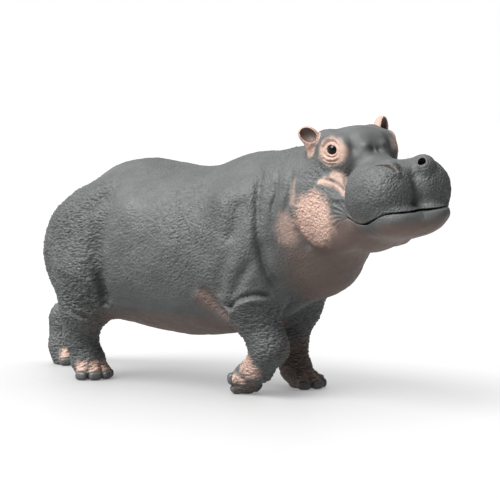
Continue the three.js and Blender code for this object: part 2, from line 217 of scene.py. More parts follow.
@dataclass(frozen=True)
class Line:
    """A soft line over the skin, through a few points that it passes smoothly."""

    points: tuple[Vec, ...]

    def rounded(self) -> Array:
        """Round the line off.

        Returns:
            Short straight steps along a smooth curve through its points.
        """
        p = np.array(self.points, float)
        before = np.vstack([2 * p[0] - p[1], p, 2 * p[-1] - p[-2]])
        steps = []
        for a, b, c, d in zip(before, before[1:], before[2:], before[3:]):
            for t in np.arange(0, 1, 0.2):
                steps.append(0.5 * (2 * b + (c - a) * t + (2 * a - 5 * b + 4 * c - d) * t * t
                                    + (3 * b - a - 3 * c + d) * t ** 3))
        return np.array([*steps, p[-1]])

    def nearest(self, p: Array, reach: float) -> tuple[Array, Array, Array]:
        """Find how far the line is from each point.

        Args:
            p: the points.
            reach: distances are only worked out up to this.

        Returns:
            The distance, how far along the line its foot is from 0 to 1, and the
            step from the line's foot to the point.
        """
        curve = self.rounded()
        apart = np.full(len(p), 9 * reach)
        along = np.zeros(len(p))
        step = np.zeros((len(p), 3))
        inside = np.all((p > curve.min(0) - reach) & (p < curve.max(0) + reach), axis=1)
        near = np.flatnonzero(inside)
        q = p[near]
        best, place, away = apart[near], along[near], step[near]
        for i, (a, b) in enumerate(zip(curve, curve[1:])):
            d = q - a
            t = np.clip(d @ (b - a) / max((b - a) @ (b - a), 1e-9), 0, 1)
            off = d - t[:, None] * (b - a)
            size = length(off)
            closer = size < best
            best = np.where(closer, size, best)
            place = np.where(closer, (i + t) / (len(curve) - 1), place)
            away = np.where(closer[:, None], off, away)
        apart[near], along[near], step[near] = best, place, away
        return apart, along, step


class Noise:
    """Smooth noise of one seed, between about -1 and 1, with a grain one unit long."""

    def __init__(self, seed: int) -> None:
        """Shuffle the table and pick the slopes."""
        rng = np.random.default_rng(seed)
        self.order = rng.permutation(256)
        self.slopes = unit(rng.normal(size=(256, 3)))

    def at(self, p: Array) -> Array:
        """Work out the noise.

        Args:
            p: the points.

        Returns:
            The noise at each point.
        """
        cell = np.floor(p).astype(np.int64)
        f = p - cell
        u = f * f * f * (f * (f * 6 - 15) + 10)
        total = np.zeros(len(p))
        for corner in range(8):
            step = np.array([corner & 1, corner >> 1 & 1, corner >> 2])
            i = (cell + step) & 255
            hashed = self.order[(self.order[(self.order[i[:, 0]] + i[:, 1]) & 255] + i[:, 2]) & 255]
            weight = np.prod(np.where(step, u, 1 - u), axis=1)
            total += weight * np.einsum("ij,ij->i", self.slopes[hashed], f - step)
        return total * 1.6

    def veins(self, p: Array) -> Array:
        """Rounded cushions from 0 up to 1 with narrow valleys at 0 between them."""
        return 1 - np.exp(-4 * np.abs(self.at(p)))


# ---------------------------------------------------------------- triangles

def measured(distance: Measure, points: Array, share: int = 60_000) -> Array:
    """Measure many points in shares, side by side.

    Args:
        distance: what measures an array of points.
        points: where to measure.
        share: how many points go at once.

    Returns:
        One distance for each point.
    """
    shares = np.array_split(points, max(1, len(points) // share))
    with ThreadPoolExecutor(4) as pool:
        return np.concatenate(list(pool.map(distance, shares)))


@dataclass
class Net:
    """A closed net of triangles."""

    points: Array
    faces: Array

    @classmethod
    def over(cls, distance: Measure, low: Vec, high: Vec, cell: float) -> "Net":
        """Lay a net over the zero level of a distance.

        Args:
            distance: the measure of the shape.
            low: lowest corner of the space that holds it.
            high: highest corner of that space.
            cell: the mesh width.

        Returns:
            The net, with one point in each cell that the surface crosses.
        """
        coarse = 4
        low = np.array(low, np.float32)
        blocks = np.ceil((np.array(high) - low) / (cell * coarse)).astype(int)
        grid = np.stack(np.meshgrid(*(np.arange(n) for n in blocks), indexing="ij"), -1).reshape(-1, 3)
        centres = (low + (grid + 0.5) * cell * coarse).astype(np.float32)
        rough = measured(distance, centres)
        value = rough.reshape(blocks).astype(np.float32)
        for axis in range(3):
            value = np.repeat(value, coarse, axis)
        close = grid[np.abs(rough) < cell * coarse * 1.5]
        steps = np.stack(np.meshgrid(*[np.arange(coarse)] * 3, indexing="ij"), -1).reshape(-1, 3)
        corners = (close[:, None, :] * coarse + steps[None]).reshape(-1, 3)
        fine = measured(distance, (low + corners * cell).astype(np.float32))
        value[corners[:, 0], corners[:, 1], corners[:, 2]] = fine
        return cls(*cls._woven(value, low, cell))

    @staticmethod
    def _woven(value: Array, low: Array, cell: float) -> tuple[Array, Array]:
        """Turn measured corners into points and triangles.

        Args:
            value: the distance at each corner of the grid.
            low: the grid's lowest corner.
            cell: the mesh width.

        Returns:
            The points and the triangles between them.
        """
        inside = value < 0
        some = np.zeros([n - 1 for n in value.shape], bool)
        every = np.ones_like(some)
        corners = [(i, j, k) for i in (0, 1) for j in (0, 1) for k in (0, 1)]
        for i, j, k in corners:
            part = inside[i:i + some.shape[0], j:j + some.shape[1], k:k + some.shape[2]]
            some |= part
            every &= part
        crossed = np.argwhere(some & ~every)
        flat = np.ravel_multi_index(crossed.T, value.shape)
        levels = {c: value[tuple((crossed + c).T)] for c in corners}
        total = np.zeros((len(crossed), 3))
        count = np.zeros(len(crossed))
        for axis in range(3):
            for a in corners:
                if a[axis]:
                    continue
                b = tuple(1 if n == axis else a[n] for n in range(3))
                va, vb = levels[a], levels[b]
                changes = (va < 0) != (vb < 0)
                t = np.where(changes, va / np.where(changes, va - vb, 1), 0)
                count += changes
                for n in range(3):
                    total[:, n] += np.where(changes, t if n == axis else a[n], 0)
        points = low + (crossed + total / count[:, None]) * cell
        stride = np.array([value.shape[1] * value.shape[2], value.shape[2], 1])
        level = inside.ravel()
        faces = []
        for axis in range(3):
            u, v = stride[(axis + 1) % 3], stride[(axis + 2) % 3]
            here = flat
            changes = level[here] != level[here + stride[axis]]
            here = here[changes]
            ring = np.stack([np.searchsorted(flat, n) for n in (here - u - v, here - v, here, here - u)], 1)
            outward = level[here]
            ring = np.where(outward[:, None], ring, ring[:, ::-1])
            faces.append(ring)
        quads = np.concatenate(faces)
        p = points[quads]
        short = length(p[:, 0] - p[:, 2]) < length(p[:, 1] - p[:, 3])
        first = np.where(short[:, None], quads[:, [0, 1, 2]], quads[:, [0, 1, 3]])
        second = np.where(short[:, None], quads[:, [0, 2, 3]], quads[:, [1, 2, 3]])
        return points, np.concatenate([first, second])

    def normals(self) -> Array:
        """Find which way the net faces.

        Returns:
            The outward direction at each point.
        """
        p = self.points[self.faces]
        across = np.cross(p[:, 1] - p[:, 0], p[:, 2] - p[:, 0])
        total = np.stack([
            sum(np.bincount(self.faces[:, c], across[:, n], len(self.points)) for c in range(3))
            for n in range(3)], 1)
        return unit(total)

    def settle(self, distance: Measure, rounds: int, limit: float, first: int = 0) -> None:
        """Slide points along their outward direction on to the surface.

        Args:
            distance: the measure of the shape.
            rounds: how many times.
            limit: the longest slide at once.
            first: points before this one stay.
        """
        for _ in range(rounds):
            out = self.normals()[first:]
            away = measured(distance, self.points[first:].astype(np.float32))
            self.points[first:] -= out * np.clip(away, -limit, limit)[:, None]

    def ease(self, rounds: int, amount: float) -> None:
        """Even out the net by drawing each point towards its neighbours.

        Args:
            rounds: how many times.
            amount: the share of the way that it goes.
        """
        f = self.faces
        a = np.concatenate([f[:, 0], f[:, 1], f[:, 2]])
        b = np.concatenate([f[:, 1], f[:, 2], f[:, 0]])
        count = np.bincount(a, minlength=len(self.points))
        for _ in range(rounds):
            mean = np.stack([np.bincount(a, self.points[b, n], len(self.points)) for n in range(3)], 1)
            self.points += (mean / count[:, None] - self.points) * amount

    def refine(self, longest: Measure) -> int:
        """Split each side that is longer than its place allows.

        Args:
            longest: gives the longest side allowed at each point.

        Returns:
            How many points there were before.
        """
        f, before = self.faces, len(self.points)
        sides = np.sort(np.concatenate([f[:, [0, 1]], f[:, [1, 2]], f[:, [2, 0]]]), axis=1)
        keys, where, back = np.unique(sides[:, 0] * np.int64(before) + sides[:, 1],
                                      return_index=True, return_inverse=True)
        a, b = self.points[sides[where, 0]], self.points[sides[where, 1]]
        split = length(a - b) > longest((a + b) / 2)
        made = np.full(len(keys), -1)
        made[split] = before + np.arange(split.sum())
        self.points = np.concatenate([self.points, ((a + b) / 2)[split]])
        m = made[back.ravel()].reshape(3, -1).T
        cuts = (m >= 0).sum(1)
        whole = [f[cuts == 0]]
        for turn in range(3):
            order = [turn, (turn + 1) % 3, (turn + 2) % 3]
            g, n = f[:, order], m[:, order]
            one = (cuts == 1) & (n[:, 0] >= 0)
            whole += self._fans(g[one], n[one], ("a0c", "0bc"))
            two = (cuts == 2) & (n[:, 2] < 0)
            whole += self._fans(g[two], n[two], ("0b1", "a01", "a1c"))
        full = cuts == 3
        whole += self._fans(f[full], m[full], ("a02", "0b1", "21c", "012"))
        self.faces = np.concatenate(whole)
        return before

    @staticmethod
    def _fans(corners: Array, middles: Array, plan: tuple[str, ...]) -> list[Array]:
        """Cut triangles by plan, where a, b, c are corners and 0, 1, 2 the middles of their sides."""
        named = {**{"abc"[i]: corners[:, i] for i in range(3)}, **{str(i): middles[:, i] for i in range(3)}}
        return [np.stack([named[letter] for letter in word], 1) for word in plan]


# ---------------------------------------------------------------- masses of the body

@dataclass(frozen=True)
class Trunk:
    """Barrel, rump, withers, chest, neck, haunches and shoulders."""

    middle: tuple[Ball, ...] = (
        Ball((60, 0, 820), (930, 495, 518)),
        Ball((-310, 0, 890), (490, 400, 485)),
        Ball((520, 0, 1110), (360, 230, 282)),
        Ball((910, -10, 890), (325, 280, 320)),
    )
    neck: Limb = Limb((640, 0, 1040, 385), (1080, -60, 1160, 340))
    paired: tuple[Ball, ...] = (
        Ball((-525, 250, 790), (392, 215, 400)),
        Ball((600, 290, 830), (290, 185, 400)),
    )
    tail: tuple[Disc, ...] = ((-850, 0, 1090, 75), (-955, 0, 900, 48), (-965, 0, 700, 30))
    fillet: float = 120

    def distance(self, p: Array) -> Array:
        """Measure how far the trunk and neck are.

        Args:
            p: the points.

        Returns:
            Each point's distance, negative inside.
        """
        shapes = [*self.middle[:3], self.neck, self.middle[3]]
        for mass in self.paired:
            shapes += both(mass)
        return joined(self.fillet, shapes, p)


@dataclass(frozen=True)
class Foot:
    """Where a foot stands, where its toes point, and how it is tipped."""

    at: Vec
    along: Vec
    up: Vec = (0, 0, 1)
    reach: float = 114
    spread: float = 1.0
    toes: tuple[float, ...] = (-66, -22, 22, 66)
    toe_back: float = 22
    toe_radius: float = 39
    heel_radius: float = 82
    nail_drop: float = 12
    nail_radii: Vec = (28, 41, 28)
    root_reach: float = 35
    root_height: float = 24
    root_radius: float = 40

    def axes(self) -> Array:
        """Find the foot's own axes.

        Returns:
            The directions along the toes, across and up through the foot, as columns.
        """
        x = unit(np.array([self.along], float))[0]
        z = np.array(self.up, float)
        z = unit((z - (z @ x) * x)[None])[0]
        return np.stack([x, np.cross(z, x), z], 1)

    def place(self, point: Vec) -> Array:
        """A point of the foot's own frame in the making frame."""
        return self.axes() @ np.array(point, float) + np.array(self.at)

    def ray(self, turn: float, reach: float, height: float) -> Array:
        """A point of the foot at an angle from straight ahead, in the making frame."""
        a = math.radians(turn)
        return self.place((reach * math.cos(a), reach * math.sin(a) * self.spread, height))

    def toe_shapes(self) -> list[Limb]:
        """Fan the four toes out from the ankle.

        Returns:
            One limb for each toe.
        """
        shapes = []
        for turn in self.toes:
            root = self.ray(turn, self.root_reach, self.root_height)
            tip = self.ray(turn, self.reach - self.toe_back, 0)
            shapes.append(Limb((*root, self.root_radius), (*tip, self.toe_radius)))
        return shapes

    def nail_frame(self, turn: float) -> tuple[Array, Array, Array]:
        """Place one nail.

        Args:
            turn: its toe's angle from straight ahead, in degrees.

        Returns:
            The nail's centre, its axes as columns, and its three radii.
        """
        axes = self.axes() @ turned((0, 0, turn))
        long, wide, high = self.nail_radii
        centre = self.ray(turn, self.reach, -self.nail_drop)
        return centre, axes, np.array([long, wide * self.spread, high])


@dataclass(frozen=True)
class Leg:
    """A leg: a chain of discs from the trunk to the ankle, and a foot."""

    name: str
    discs: tuple[Disc, ...]
    foot: Foot
    fillet: float = 60
    foot_fillet: float = 40
    toe_fillet: float = 14

    def distance(self, p: Array) -> Array:
        """Measure how far the leg, its foot and its toes are.

        Args:
            p: the points.

        Returns:
            Each point's distance, negative inside.
        """
        upper = joined(self.fillet, chain(self.discs), p)
        core = Limb(self.discs[-1], (*self.foot.at, self.foot.heel_radius)).distance(p)
        toes = joined(self.toe_fillet, self.foot.toe_shapes(), p)
        return blend(self.foot_fillet, upper, core, toes)


def four_legs() -> tuple[Leg, ...]:
    """The legs in mid-stride, with the right forefoot bent back on its toes."""
    return (
        Leg("fore_right", ((640, -290, 760, 185), (665, -300, 540, 150), (775, -275, 300, 103),
                           (675, -240, 170, 84)),
            Foot((572, -204, 104), (-0.3, -0.2, -0.93), (0.85, -0.5, -0.17), 106, 0.9)),
        Leg("fore_left", ((590, 290, 760, 180), (612, 285, 480, 133), (600, 235, 270, 88),
                          (640, 212, 120, 88)),
            Foot((702, 195, 40), (0.97, 0.24, 0), reach=120)),
        Leg("hind_right", ((-540, -290, 680, 230), (-600, -285, 450, 150), (-655, -255, 270, 98),
                           (-620, -230, 110, 98)),
            Foot((-602, -224, 40), (0.96, -0.28, 0))),
        Leg("hind_left", ((-600, 270, 680, 225), (-800, 285, 530, 165), (-1190, 238, 300, 96),
                          (-1182, 205, 120, 92)),
            Foot((-1160, 190, 40), (0.94, 0.34, 0))),
    )


@dataclass(frozen=True)
class Ear:
    """An ear: a cup with a thin rim, turned to face one way, in the head's own frame."""

    at: Vec
    facing: float
    roll: float
    radii: Vec = (38, 67, 52)
    rim: float = 10
    push: float = 25
    rise: float = 5
    pitch: float = -6

    def cup(self) -> Ball:
        """The outside of the ear."""
        return Ball(self.at, self.radii, (self.roll, self.pitch, self.facing))

    def hollow(self) -> Ball:
        """Shape the inside of the ear.

        Returns:
            The egg that is cut out of the cup.
        """
        a = math.radians(self.facing)
        x, y, z = self.at
        deep, wide, high = self.radii
        at = (x + self.push * math.cos(a), y + self.push * math.sin(a), z + self.rise)
        radii = (deep, wide - self.rim, high - self.rim)
        return Ball(at, radii, (self.roll, self.pitch, self.facing))


@dataclass(frozen=True)
class Nostril:
    """A slit-shaped opening in a raised rim, in the head's own frame."""

    pit: Ball
    rim: Ball


@dataclass(frozen=True)
class Head:
    """The head in its own frame: x forward from between the eyes, y to its left, z up."""

    at: Vec = (1345, -190, 1472)
    turn: Vec = (5, 0, -29)
    single: tuple[Ball | Limb, ...] = (
        Ball((-110, 0, -30), (270, 195, 145)),
        Ball((-10, 0, -10), (120, 150, 105)),
        Limb((60, 0, -150, 130), (330, 0, -210, 130)),
        Ball((380, 0, -225), (185, 240, 140)),
        Ball((20, 0, -400), (290, 225, 200)),
        Ball((300, 0, -398), (312, 232, 112)),
    )
    jowl: Ball = Ball((-50, 185, -370), (260, 125, 225))
    temple: Ball = Ball((-190, 140, -120), (170, 105, 140))
    crown: Ball = Ball((-135, 150, 10), (115, 75, 100))
    eye_mound: Ball = Ball((-12, 148, -40), (105, 58, 112))
    lip_front: Ball = Ball((400, 125, -238), (165, 155, 165))
    lip_rear: Ball = Ball((310, 155, -240), (150, 135, 170))
    nostril: Ball = Ball((440, 105, -95), (70, 48, 45))
    nostrils: tuple[Nostril, ...] = (
        Nostril(pit=Ball((505, 83, -100), (42, 28, 42), (34, 24, -50)),
                rim=Ball((492, 90, -108), (70, 48, 50), (0, 24, -50))),
        Nostril(pit=Ball((484, -152, -94), (66, 8, 30), (0, 16, 35)),
                rim=Ball((476, -148, -113), (84, 26, 36), (0, 16, 35))),
    )
    ears: tuple[Ear, ...] = (
        Ear((-182, 240, 80), 38, 35, (46, 86, 54)),
        Ear((-172, -246, 82), -38, -35, rim=14),
    )
    ear_stalk: Limb = Limb((-178, 238, 30, 34), (-190, 190, -50, 44))
    eye: Vec = (-12, 180, 0)
    eye_radius: float = 37
    gaze: Vec = (0.62, 0.785, 0.04)
    lid_radius: float = 41
    lid_seat: float = 14
    lid_roll: float = 6.5
    lid_flat: float = 1.22
    lid_slant: float = 0.16
    lid_weight: float = 0.25
    lid_opening: Ball = Ball((14, 213, 0), (30, 27, 28), (0, 0, -40))
    lower_lip: Ball = Ball((478, 92, -376), (130, 122, 70), (0, -6, 0))
    mouth: tuple[tuple[float, float], ...] = (
        (190, -368), (250, -388), (350, -396), (420, -378), (490, -352), (550, -334), (640, -338))
    mouth_gap: float = 4.5
    mouth_depth: float = 30
    mouth_taper: float = 0.3
    eye_play: float = 0.4
    skull_fillet: float = 60
    lip_fillet: float = 50
    face_fillet: float = 52
    nostril_fillet: float = 30
    ear_fillet: float = 16
    lid_fillet: float = 12
    nostril_edge: float = 8
    mouth_edge: float = 7
    lid_edge: float = 6
    eye_edge: float = 3

    def axes(self) -> Array:
        """The head's own axes as columns."""
        return turned(self.turn)

    def local(self, p: Array) -> Array:
        """Points of the making frame in the head's own frame."""
        return (p - np.asarray(self.at, p.dtype)) @ self.axes().astype(p.dtype)

    def world(self, q: Array | Vec) -> Array:
        """Points of the head's own frame in the making frame."""
        return np.asarray(q) @ self.axes().T + np.array(self.at)

    def gaze_frame(self) -> tuple[Array, Array, Array]:
        """Find which way the left eye looks.

        Returns:
            Its line of sight, and the directions forward and up across it.
        """
        out = unit(np.array([self.gaze], float))[0]
        ahead = unit(np.array([np.cross(out, (0, 0, 1))]))[0]
        return out, ahead, np.cross(ahead, out)

    def mouth_height(self, x: Array) -> Array:
        """Height of the line between the lips at each distance forward."""
        curve = Line(tuple((a, 0, b) for a, b in self.mouth)).rounded()
        return np.interp(x, curve[:, 0], curve[:, 2]).astype(x.dtype)

    def distance(self, q: Array) -> Array:
        """Measure how far the head is, without its ears and openings.

        Args:
            q: points in the head's own frame.

        Returns:
            Each point's distance, negative inside.
        """
        skull = joined(self.skull_fillet, [*self.single, *both(self.jowl), *both(self.temple),
                                           *both(self.crown)], q)
        lips = joined(self.lip_fillet, [*both(self.lip_front), *both(self.lip_rear)], q)
        mounds = joined(self.skull_fillet, [*both(self.eye_mound)], q)
        face = blend(self.face_fillet, blend(self.skull_fillet, skull, mounds), lips)
        face = blend(self.nostril_fillet, face, *(b.distance(q) for b in both(self.nostril)))
        return blend(self.ear_fillet, face, self.ear_stalk.distance(folded(q)))

    def openings(self, body: Array, q: Array) -> Array:
        """Raise the lids, rims and lower lip, and cut the eyes, nostrils and mouth.

        Args:
            body: distance to the flesh at the points.
            q: the points in the head's own frame.

        Returns:
            The distance with the openings made.
        """
        halved = folded(q)
        rims = (nostril.rim.distance(q) for nostril in self.nostrils)
        body = blend(self.nostril_fillet, body, *rims)
        body = blend(self.lip_fillet, body, self.lower_lip.distance(halved))
        for nostril in self.nostrils:
            body = carve(self.nostril_edge, body, nostril.pit.distance(q))
        body = carve(self.lid_edge, body, self.lid_opening.distance(halved))
        body = blend(self.lid_fillet, body, self.lids(halved))
        eyeball = length(halved - np.array(self.eye, q.dtype)) - self.eye_radius - self.eye_play
        body = carve(self.eye_edge, body, eyeball)
        slit = np.abs(q[:, 2] - self.mouth_height(q[:, 0])) - self.mouth_gap
        slit = np.maximum(slit, (self.mouth[0][0] - q[:, 0]) * self.mouth_taper)
        return carve(self.mouth_edge, body, np.maximum(slit, -(body + self.mouth_depth)))

    def lids(self, q: Array) -> Array:
        """Measure how far the ring of lid round the left eye is.

        Args:
            q: points in the head's own frame.

        Returns:
            Each point's distance, negative inside.
        """
        out, ahead, up = self.gaze_frame()
        d = q - np.array(self.eye, q.dtype)
        height = d @ out.astype(q.dtype) - self.lid_seat
        side, rise = d @ ahead.astype(q.dtype), d @ up.astype(q.dtype)
        rise = (rise + self.lid_slant * side) * self.lid_flat
        ring = np.sqrt(side * side + rise * rise)
        roll = self.lid_roll * (1 + self.lid_weight * rise / np.maximum(ring, 1))
        return np.sqrt(np.square(ring - self.lid_radius) + height * height) - roll

    def eye_plane(self, q: Array, side: int) -> tuple[Array, Array]:
        """Find each point's place round one eye.

        Args:
            q: points in the head's own frame.
            side: 1 for the left eye, -1 for the right.

        Returns:
            Each point's place ahead of and above the line of sight, and how far
            along the line it lies.
        """
        out, ahead, up = self.gaze_frame()
        d = q * np.array([1, side, 1]) - np.array(self.eye)
        return np.stack([d @ ahead, d @ up, np.zeros(len(d))], 1), d @ out


# Beside a crease's valley: how far off its swell stands, how wide it is and how far
# it reaches, and how far the whole crease is felt, all as shares of its width.
SWELL_PLACE = 1.9
SWELL_WIDTH = 1.4
SWELL_REACH = 3.2
CREASE_REACH = 5


@dataclass(frozen=True)
class Crease:
    """A fold line in the skin: a valley, and a swell beside it on the side it leans to."""

    line: Line
    depth: float
    width: float
    swell: float = 0
    lean: Vec = (0, 0, 1)
    fades: tuple[float, float] = (0.2, 0.2)

    def height(self, p: Array) -> Array:
        """Work out the crease's relief.

        Args:
            p: the points.

        Returns:
            How far the crease raises or sinks each point.
        """
        apart, along, step = self.line.nearest(p, CREASE_REACH * self.width)
        start, end = self.fades
        ends = smooth(0, start, along) * smooth(0, end, 1 - along)
        side = step @ unit(np.array([self.lean], float))[0]
        valley = -self.depth * bell(apart, self.width)
        hump = self.swell * bell(side - SWELL_PLACE * self.width, SWELL_WIDTH * self.width)
        hump = hump * bell(apart, SWELL_REACH * self.width)
        return (valley + hump) * ends

    def mirrored(self) -> "Crease":
        """Lay the same crease on the other side of the middle.

        Returns:
            The mirrored crease.
        """
        x, y, z = self.lean
        flipped = Line(tuple((a, -b, c) for a, b, c in self.line.points))
        return Crease(flipped, self.depth, self.width, self.swell, (x, -y, z), self.fades)


@dataclass(frozen=True)
class Swell:
    """A soft rise, or a dent where its height is below zero."""

    at: Vec
    radii: Vec
    height: float

    def lift(self, p: Array) -> Array:
        """How far the swell raises each point."""
        return self.height * np.exp(-np.square(length((p - np.array(self.at)) / np.array(self.radii))))


# Fold lines of the right side, in the making frame.
BLADE_FRONT = Line(((689, -396, 1189), (661, -427, 1132), (655, -451, 1058), (624, -475, 955),
                    (547, -484, 894)))
BLADE_LOW = Line(((642, -480, 915), (591, -498, 793), (546, -478, 673), (549, -458, 579)))
ELBOW = Line(((799, -435, 879), (757, -466, 804), (699, -481, 705), (633, -477, 603), (588, -455, 520)))
NECK_BASE = Line(((808, -426, 960), (815, -426, 880), (836, -409, 758), (862, -364, 693), (882, -280, 630)))
ARM_TOP = Line(((586, -455, 512), (652, -475, 570), (733, -461, 608), (805, -414, 617), (856, -320, 600)))
NECK_REAR = Line(((710, -250, 1358), (738, -334, 1275), (761, -389, 1185), (780, -422, 1060),
                  (796, -430, 940), (812, -426, 860), (834, -409, 768), (862, -364, 693), (882, -280, 630)))
NECK_MIDDLE = Line(((830, -275, 1367), (869, -344, 1289), (880, -383, 1195), (868, -395, 1120),
                    (890, -390, 1000)))
NECK_FRONT = Line(((935, -285, 1385), (968, -355, 1300), (980, -388, 1214), (965, -395, 1130),
                   (945, -375, 1010)))
FLANK_FOLD = Line(((392, -457, 669), (438, -442, 612), (497, -425, 538), (576, -425, 455)))
HAUNCH = Line(((-181, -331, 1212), (-282, -408, 1104), (-324, -463, 966), (-350, -480, 832),
               (-350, -481, 711), (-347, -438, 573), (-364, -388, 489)))
HAUNCH_TOP = Line(((-225, -326, 1217), (-314, -347, 1191), (-367, -392, 1133), (-443, -420, 1081),
                   (-480, -443, 1020), (-505, -464, 935)))
HAUNCH_DEEP = Line(((-352, -480, 760), (-350, -470, 650), (-350, -430, 560), (-370, -370, 470)))
HAUNCH_LOW = Line(((-700, -430, 560), (-642, -455, 505), (-590, -455, 458), (-538, -436, 420),
                   (-470, -385, 408), (-400, -320, 430)))


@dataclass(frozen=True)
class Folds:
    """The body's folds and muscle forms, laid over the flesh."""

    right: tuple[Crease, ...] = (
        Crease(NECK_REAR, 17, 23, 10, (-1, 0, 0), (0.2, 0.15)),
        Crease(NECK_MIDDLE, 13, 15, 6, (-1, 0, 0), (0.4, 0.4)),
        Crease(NECK_FRONT, 13, 20, 8, (-1, 0, 0), (0.4, 0.3)),
        Crease(NECK_BASE, 16, 50, fades=(0.3, 0.2)),
        Crease(ARM_TOP, 27, 17, 24, (0, 0, -1), (0.06, 0.2)),
    )
    paired: tuple[Crease, ...] = (
        Crease(BLADE_FRONT, 22, 44, fades=(0.3, 0.3)),
        Crease(BLADE_LOW, 18, 44, fades=(0.25, 0.2)),
        Crease(ELBOW, 20, 34, 14, (1, 0, 0.6), (0.4, 0.05)),
        Crease(FLANK_FOLD, 18, 36, 18, (-1, 0, -0.8), (0.3, 0.05)),
        Crease(HAUNCH, 28, 52, 6, (-1, 0, 0), (0.5, 0.1)),
        Crease(HAUNCH_TOP, 21, 46, fades=(0.35, 0.35)),
        Crease(HAUNCH_DEEP, 30, 24, 10, (-1, 0, 0), (0.5, 0.05)),
        Crease(HAUNCH_LOW, 19, 17, 12, (0, 0, 1), (0.25, 0.5)),
    )
    swells: tuple[Swell, ...] = (
        Swell((540, -424, 1140), (90, 200, 85), 24),
        Swell((725, -469, 885), (65, 200, 90), 16),
        Swell((640, -470, 790), (55, 200, 90), 8),
        Swell((-184, -419, 1083), (125, 200, 95), 14),
        Swell((-708, -408, 1000), (110, 200, 110), 9),
        Swell((-450, -430, 1080), (200, 200, 130), 8),
        Swell((-40, -430, 1060), (260, 200, 130), 10),
    )

    def height(self, p: Array) -> Array:
        """Work out the relief of all the folds.

        Args:
            p: the points.

        Returns:
            How far they raise or sink each point.
        """
        total = np.zeros(len(p))
        for crease in (*self.right, *self.paired, *(one.mirrored() for one in self.paired)):
            total += crease.height(p)
        for swell in self.swells:
            x, y, z = swell.at
            total += swell.lift(p) + Swell((x, -y, z), swell.radii, swell.height).lift(p)
        return total


# Lines of the left side of the head, in its own frame.
CHEEK = Line(((-29, 244, -155), (23, 228, -166), (89, 217, -188), (127, 211, -210)))
CHEEK_RIDGES = (
    Line(((-44, 265, -172), (13, 250, -182), (96, 232, -204), (145, 223, -232))),
    Line(((15, 208, -145), (47, 188, -152), (78, 188, -173))),
    Line(((56, 278, -248), (115, 262, -264), (159, 240, -268))),
)
LIP_REAR = Line(((74, 162, -126), (104, 192, -194), (200, 252, -266), (210, 245, -334), (262, 234, -392)))
JOWL_EDGE = Line(((-210, 345, -178), (-205, 360, -218), (-198, 372, -286)))
JOWL_REAR = Line(((-198, 360, -420), (-196, 340, -470), (-190, 315, -515), (-180, 276, -568)))


@dataclass(frozen=True)
class Fan:
    """Short creases that spread backwards from the left corner of the mouth."""

    corner: Vec = (205, 240, -368)
    starts: tuple[float, float] = (25, 50)
    ends: tuple[float, float] = (90, 150)
    facing: float = 20
    spread: tuple[float, float] = (20, 75)
    creases: float = 21
    bend: float = 0.05
    rise: float = 3

    def height(self, q: Array) -> Array:
        """Work out the fan's relief.

        Args:
            q: points in the head's own frame.

        Returns:
            How far the fan raises or sinks each point.
        """
        away = q - np.array(self.corner)
        turn = np.degrees(np.arctan2(away[:, 2], -away[:, 0]))
        reach = length(away)
        near, far = self.ends
        narrow, wide = self.spread
        share = smooth(*self.starts, reach) * smooth(-far, -near, -reach)
        share = share * smooth(-wide, -narrow, -np.abs(turn - self.facing))
        return self.rise * np.cos(np.radians(turn) * self.creases + self.bend * reach) * share


